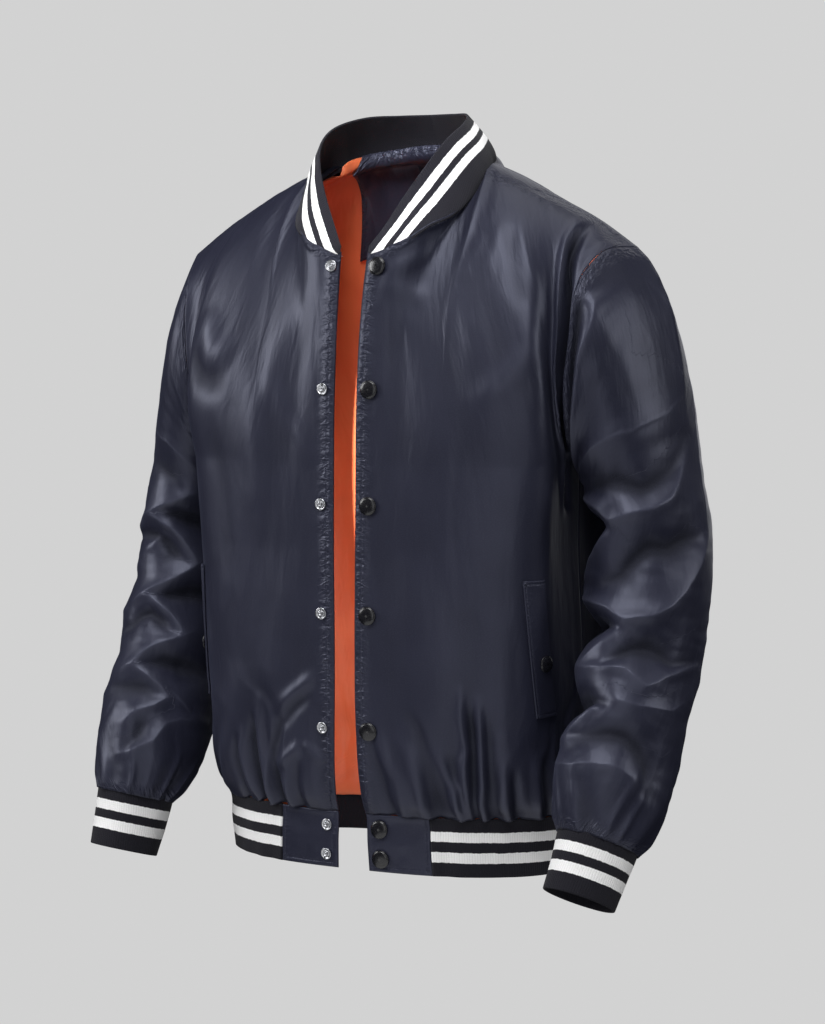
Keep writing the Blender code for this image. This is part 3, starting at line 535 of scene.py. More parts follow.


# %% [markdown]
# ## From a grid to a piece of cloth
# Each piece is a closed wall: an outer face, the same face again one thickness behind it, and rims
# that join the two. It has four UV maps. Cloth is the distance across and up the cloth in metres, so
# a weave keeps its true scale. Seams is how far each point is from a line of stitches and how far
# along it, so the stitches are drawn by the material. Crease is the same for crisp folds, and Fold
# says how far a point lies below or above the cloth around it. From Fold the material paints shade
# into hollows and a highlight onto crests, and from Crease a painted highlight along crisp folds.

# %% Wall of cloth
def flat_measure(grid):
    """Distance across and up the cloth at every point, as running sums of its steps."""
    across = np.linalg.norm(np.diff(grid, axis=1), axis=2)
    across = np.concatenate([np.zeros((grid.shape[0], 1)), np.cumsum(across, axis=1)], axis=1)
    up = np.linalg.norm(np.diff(grid, axis=0), axis=2)
    up = np.concatenate([np.zeros((1, grid.shape[1])), np.cumsum(up, axis=0)], axis=0)
    return across, up


def measure_mm(grid):
    """The same two distances in mm."""
    across, up = flat_measure(grid)
    return across * 1000, up * 1000


def quads(grid):
    """The four corners of every cell of a grid of numbers."""
    cells = (grid[:-1, :-1], grid[:-1, 1:], grid[1:, 1:], grid[1:, :-1])
    return np.stack(cells, axis=-1).reshape(-1, 4)


def wall(name, outer, normals, thickness, closed=False, seams=None, creases=None, folds=None):
    """A closed piece of cloth from the grid of its outer face; a closed grid repeats its first
    column in its maps, one turn further on. Seams can be a pair, for the outer and inner face."""
    rows, columns = outer.shape[:2]
    inner = outer - normals * thickness
    points = np.concatenate([outer.reshape(-1, 3), inner.reshape(-1, 3)])
    index = np.arange(rows * columns).reshape(rows, columns)
    shown = np.concatenate([outer, outer[:, :1]], axis=1) if closed else outer
    across, up = flat_measure(shown)
    cloth = np.stack([across, up], axis=-1)
    seams = np.ones(cloth.shape) if seams is None else seams
    outside, inside = seams if isinstance(seams, tuple) else (seams, seams)
    creases = np.ones(cloth.shape) * (1.0, 0.0) if creases is None else creases
    folds = np.zeros(outer.shape[:2] + (2,)) if folds is None else folds
    if closed:
        folds = np.concatenate([folds, folds[:, :1]], axis=1)
        index = np.concatenate([index, index[:, :1]], axis=1)
    place = np.arange(index.size).reshape(index.shape)

    def rim(grid, behind):
        """Faces from an edge of the outer face to the same edge of the inner one."""
        low, high = grid[:-1], grid[1:]
        return np.stack([high, low, low + behind, high + behind], axis=-1)

    size = rows * columns
    edges = [lambda g: g[0], lambda g: g[-1][::-1]]
    if not closed:
        edges += [lambda g: g[::-1, 0], lambda g: g[:, -1]]
    faces = [quads(index), np.roll(quads(index)[:, ::-1], 1, axis=1) + size]
    reads = [quads(place), np.roll(quads(place)[:, ::-1], 1, axis=1) + place.size]
    faces += [rim(edge(index), size) for edge in edges]
    reads += [rim(edge(place), 0) for edge in edges]
    faces, reads = np.concatenate(faces), np.concatenate(reads)
    front = faces[0]
    facing = np.cross(points[front[1]] - points[front[0]], points[front[2]] - points[front[0]])
    if facing @ normals.reshape(-1, 3)[front[0]] < 0:
        faces, reads = faces[:, ::-1], reads[:, ::-1]
    maps = {"Cloth": (cloth, cloth), "Seams": (outside, inside), "Crease": (creases, creases),
            "Fold": (folds, folds)}
    corners = {label: np.concatenate(pair).reshape(-1, 2)[reads] for label, pair in maps.items()}
    return mesh_object(name, points, faces, corners)


def stand(name, data):
    """An object of its own in the scene."""
    thing = bpy.data.objects.new(name, data)
    bpy.context.scene.collection.objects.link(thing)
    return thing


def mesh_object(name, points, faces, maps=None):
    """A mesh object from arrays of points and faces, and loops' UVs by the name of their map."""
    mesh = bpy.data.meshes.new(name)
    faces = np.asarray(faces)
    corners = faces.shape[1]
    mesh.vertices.add(len(points))
    mesh.vertices.foreach_set("co", points.astype(np.float32).ravel())
    mesh.loops.add(faces.size)
    mesh.loops.foreach_set("vertex_index", faces.astype(np.int32).ravel())
    mesh.polygons.add(len(faces))
    mesh.polygons.foreach_set("loop_start", np.arange(0, faces.size, corners, dtype=np.int32))
    for label, values in (maps or {}).items():
        layer = mesh.uv_layers.new(name=label)
        layer.data.foreach_set("uv", values.astype(np.float32).ravel())
    mesh.update(calc_edges=True)
    mesh.validate()
    mesh.shade_smooth()
    return stand(name, mesh)


def place(piece, finish, slot, *nodes):
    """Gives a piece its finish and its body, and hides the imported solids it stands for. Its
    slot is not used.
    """
    piece.data.materials.append(finish)
    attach(piece, "root")
    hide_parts(*nodes)


# %% [markdown]
# ## The sleeves' creases
# On a bent arm the cloth stacks up in a zigzag: a lit slope that faces up, a crisp crest, a dark
# slope that faces down, and again. Places are given as the turn round the arm in degrees, 0 outside
# and 90 in front, and the distance down the sleeve in mm. The last number is the height in mm.

# %% Creases of the left sleeve
LEFT_SLEEVE_LINES = (
    # the roll that hooks over beside the armhole, and the gap behind it
    ((50, 12, 1), (52, 19, 5), (62, 24, 6), (76, 24, 6), (92, 23, 6), (106, 28, 6), (124, 40, 6),
     (142, 54, 5), (156, 66, 2)),
    ((58, 6, -1), (68, 8, -6), (84, 8, -9), (98, 9, -10), (112, 13, -11), (128, 20, -11),
     (143, 30, -10), (160, 48, -5)),
    # under the upper arm's long smooth stretch
    ((150, 92, 2), (105, 92, 4), (60, 104, 4), (25, 104, 3), (0, 95, 1)),
    ((143, 128, -1), (115, 128, -6), (83, 134, -8), (56, 148, -6), (28, 141, -4), (5, 122, -1)),
    # first crest, hanging like a swag, and the pinch in the crook of the arm
    ((160, 128, 3), (143, 131, 4), (110, 149, 6), (94, 166, 6), (78, 163, 8), (55, 163, 8),
     (37, 158, 7), (24, 146, 5), (8, 130, 1)),
    ((98, 172, 0), (112, 170, -14), (130, 170, -24), (155, 172, -22), (185, 172, -12), (220, 168, 0)),
    # the dark hollow below it, and the next lit slope
    ((150, 236, 0), (132, 240, 0), (114, 240, -3), (88, 226, -8), (72, 207, -10), (57, 197, -10),
     (39, 200, -8), (22, 192, -7), (8, 192, -3)),
    ((97, 172, 3), (116, 192, 3), (133, 212, 3), (147, 240, 5), (175, 244, 2)),
    ((160, 250, 4), (141, 256, 5), (118, 260, 6), (97, 266, 7), (81, 279, 8), (57, 270, 9),
     (42, 254, 9), (22, 225, 7), (4, 202, 5), (-12, 182, 1)),
    ((86, 286, 0), (102, 284, -12), (122, 284, -22), (150, 285, -20), (182, 282, -10), (215, 278, 0)),
    # the lit oval and the crest shaped like a shallow W below it
    ((96, 328, -1), (80, 316, -6), (68, 309, -8), (53, 305, -9), (40, 307, -7), (28, 314, -5),
     (12, 308, -4), (-8, 300, -2)),
    ((140, 330, 4), (115, 334, 4), (86, 332, 5), (73, 331, 5), (63, 338, 7), (54, 345, 8),
     (45, 338, 7), (34, 327, 5), (15, 313, 4), (-9, 301, 3)),
    ((98, 304, 3), (110, 314, 3), (123, 326, 4), (150, 330, 2)),
    ((76, 364, 6), (64, 365, 6), (53, 364, 6), (38, 361, 5), (23, 357, 4), (6, 342, 2)),
    ((82, 369, 0), (100, 368, -10), (120, 368, -18), (150, 368, -17), (180, 366, -8), (205, 364, 0)),
    # the hollow above the gathers, and the fullness below it
    ((142, 398, 1), (114, 402, -3), (96, 400, -6), (80, 397, -8), (62, 396, -8), (46, 402, -8),
     (32, 416, -7), (28, 432, -4), (34, 444, -1)),
    ((98, 372, 4), (116, 388, 4), (132, 400, 5), (158, 404, 3)),
    ((140, 428, 5), (112, 430, 6), (90, 426, 6), (66, 424, 5), (48, 430, 3)),
    # the thin edge that runs down the outer side
    ((8, 22, 1), (-8, 60, 2), (-17, 96, 3), (-10, 150, 2), (-6, 190, 1)),
    # round the back, where the cloth is drawn over the elbow
    ((-20, 150, 0), (-60, 160, -5), (-105, 168, -6), (-140, 172, -4)),
    ((-30, 205, 0), (-70, 200, 5), (-110, 205, 6), (-150, 214, 3)),
    ((-25, 262, 0), (-60, 250, -6), (-100, 246, -7), (-145, 256, -4)),
    ((-20, 318, 1), (-65, 300, 5), (-110, 292, 6), (-150, 300, 3)),
    ((-15, 352, 0), (-60, 348, -6), (-105, 340, -6), (-150, 344, -3)),
    ((-25, 396, 1), (-75, 392, 5), (-125, 390, 4)),
    ((-20, 430, 0), (-70, 428, -4), (-120, 426, -4), (-160, 424, -1)),
)

# %% Creases of the right sleeve
RIGHT_SLEEVE_LINES = (
    ((55, 112, 1), (85, 108, 2), (112, 112, 2)),
    ((45, 140, -2), (62, 138, -4), (77, 135, -4), (95, 138, -4), (107, 146, -1)),
    ((60, 186, 3), (74, 179, 6), (86, 170, 6), (99, 162, 6), (111, 153, 6), (120, 146, 3)),
    ((90, 176, 0), (104, 176, -9), (124, 180, -14), (148, 184, -12), (175, 184, -5), (200, 180, 0)),
    ((74, 181, 5), (86, 183, 6), (102, 190, 6), (114, 202, 5), (122, 217, 5), (129, 231, 6)),
    ((38, 212, -3), (58, 206, -6), (84, 204, -8), (96, 210, -9), (108, 224, -7), (120, 232, -1)),
    ((66, 290, 3), (82, 278, 7), (95, 268, 7), (110, 256, 7), (122, 244, 7), (130, 233, 6),
     (140, 226, 2)),
    ((97, 278, 0), (110, 275, -9), (130, 270, -14), (152, 268, -12), (178, 266, -5), (205, 262, 0)),
    ((82, 280, 5), (92, 282, 6), (104, 290, 6), (117, 299, 5), (126, 308, 5), (133, 317, 6)),
    ((55, 322, -3), (70, 316, -6), (80, 305, -8), (95, 300, -9), (110, 308, -8), (121, 316, -2)),
    ((74, 366, 3), (90, 359, 7), (102, 342, 7), (118, 330, 7), (131, 321, 6), (142, 312, 2)),
    ((104, 356, -3), (122, 350, -10), (142, 350, -14), (162, 350, -9), (185, 350, -3)),
    ((91, 361, 5), (107, 368, 5), (123, 376, 4), (134, 386, 5), (120, 398, 5), (103, 407, 5),
     (92, 418, 3)),
    ((134, 378, 2), (146, 386, 3), (161, 395, 1)),
    ((60, 386, -3), (80, 384, -5), (96, 382, -6), (106, 382, -6), (118, 386, -2)),
    ((112, 418, -4), (108, 432, -4), (96, 444, -2)),
    ((165, 402, 3), (150, 404, 4), (136, 412, 5), (126, 432, 5), (104, 444, 3), (85, 450, 1)),
    ((58, 262, 0), (60, 240, 2), (74, 220, 2), (88, 206, 0)),
    # outer side and back
    ((-35, 150, 0), (0, 156, -3), (30, 170, -4), (50, 180, -2)),
    ((-40, 196, 1), (-10, 196, 4), (20, 200, 4), (45, 200, 2)),
    ((-30, 240, 0), (5, 246, -4), (34, 254, -4), (56, 256, -1)),
    ((-40, 284, 2), (0, 290, 4), (35, 296, 4), (60, 296, 2)),
    ((-30, 334, -1), (5, 340, -5), (40, 344, -4), (62, 344, -1)),
    ((-40, 380, 2), (0, 384, 4), (35, 390, 3)),
    ((-60, 160, -3), (-105, 168, -6), (-150, 172, -3)),
    ((-70, 206, 4), (-110, 210, 6), (-150, 216, 3)),
    ((-65, 252, -5), (-105, 250, -7), (-150, 258, -4)),
    ((-65, 300, 4), (-110, 296, 6), (-150, 302, 3)),
    ((-65, 348, -5), (-110, 342, -6), (-150, 346, -3)),
    ((-75, 392, 4), (-125, 390, 4)),
)

# %% [markdown]
# ## Gathers
# A sleeve is wider than its cuff and a body is wider than its hem band, so both are gathered as they
# are sewn on. Near the seam the cloth stands in uneven pleats, and these run out a few centimetres
# away. One row of smooth noise round the seam, sharpened into crests, makes them.

# %% Gathers and small wrinkles
CELL = 2.4              # mm between rows of a sleeve's grid
SLEEVE_MM = 480.0       # a sleeve's length, as its tables count it
SLEEVE_AROUND = 160
TURN_MM = 360.0         # a whole turn, taken as 1 mm to a degree
FOLD_GAIN = 1.25
BLOUSE, BLOUSE_MM = 0.004, 40.0     # how far a sleeve falls over its cuff, and from how far up
PLEAT_LEAN, PLEAT_CREST, PLEAT_UNEVEN = 0.35, 2.6, 0.6
#  mm wide, mm long, mm high, of the gathers round each seam
CUFF_GATHERS = (17.0, 40.0, 3.0)
ARMHOLE_GATHERS = (24.0, 45.0, 0.8)
FRONT_HEM_GATHERS = (21.0, 62.0, 4.6)
BACK_HEM_GATHERS = (22.0, 62.0, 4.6)


def pleats(x, away, width, length, seed, around=0):
    """Height from -1 to 1 of uneven pleats: crests where noise along the seam crosses nought, each
    leaning a little as it leaves the seam, fading as e to the minus distance over its own length."""
    lean = noise(x / (width * 3), away / 40 + 7, seed + 1, around and round(around / (width * 3)))
    at = x / width + PLEAT_LEAN * lean * away / width
    wave = noise(at, np.zeros_like(x) + 0.5, seed, around and round(around / width))
    crest = 1 - PLEAT_CREST * np.abs(wave)
    own = length * (1 + PLEAT_UNEVEN * noise(at * 0.7, np.zeros_like(x) + 9.5, seed + 2))
    return np.clip(crest, -1.0, 1.0) * np.exp(-((away / own) ** 2) * 0.8)


def gathers(x, away, shape, seed, held, span, around=0):
    """Pleats of a seam in mm: their height grows from a share held in the seam to the whole over a
    span away from it."""
    width, length, height = shape
    wave = pleats(x, away, width, length, seed, around)
    return wave * height * (held + (1 - held) * ease(away / span))


def wrinkles(x, y, seed, around=0, across=26.0, along=9.0):
    """Small soft wrinkles from -1 to 1: noise stretched one way and bent by slower noise."""
    bend = noise(x / 60, y / 45, seed, around and round(around / 60)) * 1.4
    wave = noise(x / across, y / along + bend, seed + 1, around and round(around / across))
    fine = noise(x / (across * 0.6), y / (along * 0.55) - bend, seed + 2,
                 around and round(around / (across * 0.6)))
    return 0.7 * wave + 0.3 * fine


# %% Shape of one sleeve
def sleeve_places(rows):
    """The turn in degrees and the mm down the sleeve at every point, with the first column once
    more, a turn further on."""
    turn = np.linspace(0.0, TURN_MM, SLEEVE_AROUND + 1)[None, :] * np.ones((rows, 1))
    down = np.linspace(0.0, SLEEVE_MM, rows)[:, None] * np.ones((1, SLEEVE_AROUND + 1))
    return turn, down


def sleeve_surface(side, lines, seed):
    """The plain tube pushed along its normals by creases, gathers at the cuff, ease at the armhole
    and small wrinkles; all heights are in mm. Returned for its own side of the body, with its
    relief."""
    rows = round(SLEEVE_MM / CELL) + 1
    tube = sleeve_tube(side, SLEEVE_AROUND, rows)
    turn, down = (values[:, :-1] for values in sleeve_places(rows))
    folds = blurred(creased(turn, down, lines, TURN_MM), 1.0, closed=True)
    left = SLEEVE_MM - down
    ends = ease(down / 12) * ease(left / 34)
    cuff_end = gathers(turn, left, CUFF_GATHERS, seed, 0.35, 14, TURN_MM)
    armhole = gathers(turn, down, ARMHOLE_GATHERS, seed + 5, 0.0, 10, TURN_MM)
    small = wrinkles(turn, down, seed + 9, around=TURN_MM)
    height = folds * FOLD_GAIN * ends + cuff_end + armhole + small * (0.25 + 0.3 * ends)
    shaped = tube + tube_normals(tube) * (height / 1000)[:, :, None]
    onward = unit(tube[-1].mean(axis=0) - tube[-8].mean(axis=0))
    shaped = shaped + onward * (BLOUSE * ease(1 - left / BLOUSE_MM))[:, :, None]
    if side == "right":
        shaped = shaped * MIRROR
    print(side, "sleeve: creases from", folds.min().round(1), "to", folds.max().round(1), "mm")
    return shaped, relief(height, closed=True)


# %% Shape of the fronts
FRONT_CELLS, BACK_CELLS = 160, 88
LOWER_CELLS, UPPER_CELLS = 120, 78
PANEL_MM = 250.0        # about how wide a front, or half of the back, lies
TOP_MM = 18.0           # how far below its top edge a panel is held by its seam
SHOULDER_DIP, SHOULDER_DIP_WIDTH = 0.7, 2.5     # mm, of the seam in front of the shoulder
EDGE_PUCKER, NECK_PUCKER, FRONT_WRINKLE, BACK_WRINKLE = 0.55, 0.45, 0.35, 0.5   # mm high
#  mm round from the front edge, height in mm, mm along: the seam in front of the shoulder
SHOULDER_LINE = ((174, -10, 0), (182, -13, 9), (238, -27, 67), (281, -39, 112), (314, -54, 148),
                 (345, -78, 187))
#  height, half width in mm, and the fold's line as (mm round from the front edge, mm of height)
LEFT_FRONT_FOLDS = (
    # the panel turns over beside the armhole, and a deep fold falls from the shoulder there
    (7.0, 6, ((306, -55), (296, -61), (284, -76), (274, -94), (264, -120), (256, -145), (249, -175),
              (241, -215), (236, -258), (236, -290), (242, -330))),
    (-24.0, 6, ((314, -62), (303, -70), (295, -88), (287, -110), (279, -135), (269, -162),
                (260, -188), (251, -214), (246, -250), (249, -290), (256, -330))),
    # soft folds that hang from the neckline and the shoulder
    (1.1, 8, ((166, -68), (156, -84), (146, -100), (136, -114))),
    (1.1, 8, ((192, -56), (184, -74), (174, -92), (164, -108))),
    (1.2, 7, ((220, -50), (218, -75), (219, -103), (221, -132))),
    (-1.3, 8, ((204, -60), (198, -84), (196, -112), (200, -140))),
    (0.6, 15, ((62, -104), (74, -160), (84, -240), (92, -320))),
    (-0.6, 12, ((96, -100), (108, -160), (112, -240), (112, -300))),
    (0.6, 15, ((120, -105), (136, -165), (142, -240), (138, -320))),
    (-0.6, 12, ((150, -110), (168, -160), (172, -220))),
    (3.2, 10, ((206, -130), (206, -150), (196, -176), (160, -204), (120, -226))),
    (-1.8, 15, ((30, -130), (44, -200), (50, -300))),
    (1.8, 8, ((20, -104), (46, -98), (80, -82))),
    (1.6, 8, ((20, -112), (50, -122), (88, -132))),
    (2.0, 22, ((60, -360), (74, -460), (90, -560))),
    (-2.0, 18, ((110, -380), (116, -470), (120, -560))),
    (2.0, 16, ((140, -520), (150, -560), (150, -600))),
    (-1.6, 14, ((24, -330), (34, -430), (40, -520))),
    (1.8, 20, ((180, -230), (160, -320), (150, -400))),
    # bunches where the hem is drawn in
    (4.4, 4.5, ((105, -478), (106, -513), (109, -540), (106, -569), (104, -593), (104, -606),
                (104, -640))),
    (-6.5, 4.0, ((112, -496), (115, -530), (114, -560), (112, -585), (110, -606), (110, -640))),
    (4.6, 4.5, ((120, -486), (123, -521), (122, -548), (121, -573), (115, -590), (115, -640))),
    (-3.6, 5.0, ((128, -500), (130, -540), (130, -575), (127, -604), (127, -640))),
    (3.0, 5.0, ((144, -550), (141, -577), (139, -604), (139, -640))),
    (-3.0, 4.5, ((151, -556), (150, -585), (149, -606), (149, -640))),
    (3.4, 5.0, ((80, -536), (87, -560), (93, -582), (96, -604), (96, -640))),
    (-3.6, 4.5, ((92, -540), (99, -575), (102, -605), (102, -640))),
    (2.4, 6.0, ((41, -525), (54, -548), (60, -575), (62, -600), (62, -640))),
    (-2.6, 6.0, ((46, -500), (63, -522), (70, -550), (74, -590), (74, -640))),
    (2.6, 6.0, ((22, -520), (30, -556), (40, -572), (42, -600), (42, -640))),
    (-2.4, 5.0, ((16, -540), (24, -572), (30, -602), (30, -640))),
    (2.6, 6.0, ((176, -540), (172, -575), (170, -606), (170, -640))),
    (-3.0, 6.0, ((186, -546), (182, -580), (180, -606), (180, -640))),
)
RIGHT_FRONT_FOLDS = (
    (1.6, 16, ((60, -110), (76, -170), (84, -250), (80, -330))),
    (-1.4, 14, ((34, -130), (46, -210), (50, -300))),
    (3.6, 13, ((196, -140), (166, -178), (132, -184))),
    (-3.0, 11, ((200, -176), (170, -206), (132, -214))),
    (2.2, 15, ((132, -160), (99, -224), (86, -290), (84, -360))),
    (-2.0, 14, ((146, -230), (130, -300), (120, -400))),
    (1.6, 10, ((89, -195), (60, -223), (35, -259), (25, -288))),
    (2.6, 20, ((40, -360), (60, -460), (76, -560))),
    (-2.6, 15, ((70, -480), (84, -540), (90, -600), (90, -640))),
    (2.4, 15, ((112, -470), (126, -540), (124, -600), (124, -640))),
    (-5.0, 12, ((224, -115), (230, -170), (224, -260), (220, -400))),
    # bunches where the hem is drawn in
    (3.4, 6.0, ((18, -478), (32, -488), (46, -500), (58, -512))),
    (-3.4, 6.0, ((24, -496), (42, -510), (58, -530), (70, -560))),
    (3.0, 4.5, ((34, -544), (52, -560), (70, -572))),
    (2.4, 4.5, ((34, -544), (20, -552), (10, -564))),
    (-3.0, 5.0, ((36, -556), (40, -580), (38, -604), (38, -640))),
    (-6.5, 4.5, ((92, -520), (93, -548), (90, -572), (86, -596), (86, -640))),
    (4.6, 5.0, ((84, -500), (84, -535), (80, -565), (74, -596), (74, -640))),
    (4.2, 5.0, ((104, -530), (106, -560), (100, -585), (92, -604), (92, -640))),
    (-4.0, 5.0, ((112, -540), (116, -566), (110, -596), (110, -640))),
    (-3.6, 5.0, ((74, -530), (70, -560), (64, -590), (62, -606), (62, -640))),
    (3.0, 5.0, ((52, -570), (52, -590), (50, -606), (50, -640))),
)


def panel_rows():
    """Row shares below and above the armhole's lowest point."""
    return np.linspace(0, 1, LOWER_CELLS + 1), np.linspace(0, 1, UPPER_CELLS + 1)


def kept(share, least):
    """What is left of a fold's height: from the least share of it to the whole."""
    return least + (1 - least) * ease(share)


def puckers(along, off, middle, spread, row, seed):
    """Small lumps along a stitched edge, from -1 to 1: one row of noise, fading as a bell about a
    line beside the edge."""
    return noise(along, np.full(along.shape, row), seed) * np.exp(-(((off - middle) / spread) ** 2))


def front_surface(folds, seed):
    """A front's plain panel pushed along its normals by soft folds, gathers at the hem, puckers
    along its stitched edges and small wrinkles. Also returns how far round and how far below the
    neckline each point is, in mm, and the relief."""
    k = panel_columns(FRONT_CELLS)
    grid = panel(-1, k, *panel_rows())
    x, up = measure_mm(grid)
    y, to_top = grid[:, :, 2] * 1000, up[-1] - up
    height = strokes(x, y, folds)
    off = line_reading(x, y, SHOULDER_LINE)[0]
    height = height - SHOULDER_DIP * np.exp(-((off / SHOULDER_DIP_WIDTH) ** 2))
    away = (y - HEM_Z * 1000).clip(0)
    height = height + gathers(x + 400, away, FRONT_HEM_GATHERS, seed, 0.3, 16)
    height = height + EDGE_PUCKER * puckers(y / 7.5, x, 9.0, 9.0, 3.5, seed + 3)
    inside_neck = np.clip((NECK_SHARE - k[None, :]) / 0.02, 0, 1)
    height = height + NECK_PUCKER * puckers(x / 6.0, to_top, 6.0, 7.0, 5.5, seed + 4) * inside_neck
    height = height + FRONT_WRINKLE * wrinkles(y * 0.5 + 700, x * 0.9 + 300, seed + 6)
    held = kept(x / 16, 0.15) * kept((1 - k[None, :]) * PANEL_MM / 6, 0.05)
    height = blurred(height, 0.8) * held * kept(to_top / TOP_MM, 0.1)
    normals = outward(grid, grid_normals(grid))
    return grid + normals * (height / 1000)[:, :, None], x, to_top, relief(height)


# %% Shape of the back
BACK_FOLDS = (
    (3.0, 24, ((-120, -120), (-60, -150), (0, -158), (60, -150), (120, -120))),
    (-2.6, 18, ((-130, -170), (-60, -200), (10, -205), (80, -192), (130, -170))),
    (3.0, 22, ((-150, -220), (-130, -330), (-110, -450))),
    (-3.0, 18, ((-100, -240), (-90, -340), (-84, -470))),
    (2.8, 22, ((-50, -300), (-44, -420), (-40, -560))),
    (-2.6, 18, ((10, -280), (6, -400), (12, -540))),
    (2.8, 20, ((60, -260), (64, -380), (70, -540))),
    (-3.0, 18, ((110, -240), (112, -350), (106, -480))),
    (3.0, 20, ((150, -230), (140, -340), (136, -450))),
    (2.4, 14, ((-20, -480), (-14, -540), (-18, -600), (-18, -640))),
)


def back_surface(seed):
    """The back as both halves of its plain panel, with folds, hem gathers and small wrinkles; and
    its relief."""
    k = panel_columns(BACK_CELLS)
    half = panel(1, k, *panel_rows())
    grid = np.concatenate([half[:, ::-1], (half * MIRROR)[:, 1:]], axis=1)
    across, up = measure_mm(grid)
    x = across - across[:, BACK_CELLS:BACK_CELLS + 1]
    y = grid[:, :, 2] * 1000
    height = strokes(x, y, BACK_FOLDS)
    away = (y - (HEM_Z - BACK_DROP) * 1000).clip(0)
    height = height + gathers(x + 500, away, BACK_HEM_GATHERS, seed, 0.3, 16)
    height = height + BACK_WRINKLE * wrinkles(y * 0.8 + 700, x * 0.9 + 500, seed + 6)
    out = np.concatenate([k[::-1], k[1:]])[None, :]
    held = kept((1 - out) * PANEL_MM / 14, 0.1) * kept((up[-1] - up) / TOP_MM, 0.1)
    height = blurred(height, 0.8) * held
    normals = outward(grid, grid_normals(grid))
    return grid + normals * (height / 1000)[:, :, None], relief(height, spread=4.0)


# %% [markdown]
# ## Finishes
# Each cloth is a Principled shader fed by a few shared node groups. The groups work from the Cloth
# map, which is in metres, so a rib is as wide as a real rib on every piece.

# %% Helpers that wire nodes
def feed(tree, socket, value):
    """Gives an input a value, or a link from another socket."""
    if isinstance(value, bpy.types.NodeSocket):
        tree.links.new(value, socket)
    else:
        socket.default_value = value


def wired(tree, kind, inputs=None, **settings):
    """Adds a node with its settings, and feeds its inputs."""
    node = tree.nodes.new(kind)
    for key, value in settings.items():
        setattr(node, key, value)
    for key, value in (inputs or {}).items():
        feed(tree, node.inputs[key], value)
    return node


def calc(tree, operation, *values):
    """One arithmetic step on sockets or numbers."""
    return wired(tree, "ShaderNodeMath", dict(enumerate(values)), operation=operation).outputs[0]


def bell(tree, off, width):
    """e to the minus square of a distance over a width."""
    share = calc(tree, "DIVIDE", off, width)
    return calc(tree, "EXPONENT", calc(tree, "MULTIPLY", calc(tree, "MULTIPLY", share, share), -1.0))


def split(tree, vector):
    """The three parts of a vector."""
    return wired(tree, "ShaderNodeSeparateXYZ", {0: vector}).outputs


def speckle(tree, vector, scale, detail=2.0, **more):
    """Noise from 0 to 1. A scale of two numbers stretches it, turned by a given angle; more can be
    its Distortion."""
    if isinstance(scale, tuple):
        turn = (0.0, 0.0, more.pop("turn", 0.0))
        stretch = {"Vector": vector, "Rotation": turn, "Scale": scale + (1.0,)}
        vector, scale = wired(tree, "ShaderNodeMapping", stretch).outputs[0], 1.0
    inputs = {"Vector": vector, "Scale": scale, "Detail": detail, **more}
    return wired(tree, "ShaderNodeTexNoise", inputs).outputs[0]


def shake(tree, vector, scale, detail, size):
    """Noise from minus half its size to half of it."""
    centred = calc(tree, "SUBTRACT", speckle(tree, vector, scale, detail), 0.5)
    return calc(tree, "MULTIPLY", centred, size)


def eased(tree, value, low, high, start=0.0, end=1.0):
    """A value eased from start to end as it goes from low to high."""
    inputs = {"Value": value, "From Min": low, "From Max": high, "To Min": start, "To Max": end}
    return wired(tree, "ShaderNodeMapRange", inputs, interpolation_type="SMOOTHSTEP").outputs[0]


def group(name, inputs, outputs):
    """An empty node group with float or vector sockets; returns it and its inputs by name."""
    tree = bpy.data.node_groups.new(name, "ShaderNodeTree")
    for label, value in inputs.items():
        kind = "NodeSocketVector" if value is None else "NodeSocketFloat"
        socket = tree.interface.new_socket(label, in_out="INPUT", socket_type=kind)
        if value is not None:
            socket.default_value = value
    for label in outputs:
        tree.interface.new_socket(label, in_out="OUTPUT", socket_type="NodeSocketFloat")
    entry = tree.nodes.new("NodeGroupInput")
    return tree, {socket.name: socket for socket in entry.outputs if socket.name}


def hand_out(tree, **results):
    """Links results to the group's outputs; an underscore stands for a space in a name."""
    wired(tree, "NodeGroupOutput", {key.replace("_", " "): value for key, value in results.items()})


def use(tree, shared, inputs):
    """A node that stands for a shared group."""
    return wired(tree, "ShaderNodeGroup", inputs, node_tree=shared)


# %% [markdown]
# ### Stitches
# Topstitching is a row of short threads that sink into the cloth. The Seams map says how far a point
# is from its line and how far along; a thread shows within half its width for three quarters of
# each stitch, and the cloth dips towards the line and puckers a little between stitches.

# %% Group: stitches
STITCH_DIP, PUCKER_WIDTH = 0.0011, 0.0065       # how far from its line cloth dips, and puckers


def stitch_group():
    """Threads, the dip along their line and the puckers round it, each as a share from 0 to 1."""
    inputs = {"Seam": None, "Cloth": None, "Length": 0.0030, "Width": 0.00034}
    tree, given = group("Stitches", inputs, ("Thread", "Dip", "Pucker"))
    sideways, lengthways = split(tree, given["Seam"])[:2]
    off = calc(tree, "ABSOLUTE", sideways)
    along = calc(tree, "FRACT", calc(tree, "DIVIDE", lengthways, given["Length"]))
    from_middle = calc(tree, "ABSOLUTE", calc(tree, "SUBTRACT", along, 0.5))
    within = eased(tree, from_middle, 0.34, 0.42, 1.0, 0.0)
    across = eased(tree, off, given["Width"], calc(tree, "MULTIPLY", given["Width"], 1.6), 1.0, 0.0)
    thread = calc(tree, "MULTIPLY", within, across)
    dip = calc(tree, "EXPONENT", calc(tree, "MULTIPLY", off, -1 / STITCH_DIP))
    deep = calc(tree, "MULTIPLY", dip, eased(tree, from_middle, 0.0, 0.5, 0.75, 1.0))
    lumps = speckle(tree, given["Cloth"], (120.0, 210.0), turn=0.5, Distortion=0.5)
    pucker = calc(tree, "MULTIPLY", lumps, bell(tree, off, PUCKER_WIDTH))
    hand_out(tree, Thread=thread, Dip=deep, Pucker=pucker)
    return tree


# %% [markdown]
# ### Satin
# Satin's long floating threads make it glossy along the weft. What shows at arm's length is fine
# crinkling: small soft ripples a few millimetres long, stretched along the cloth.

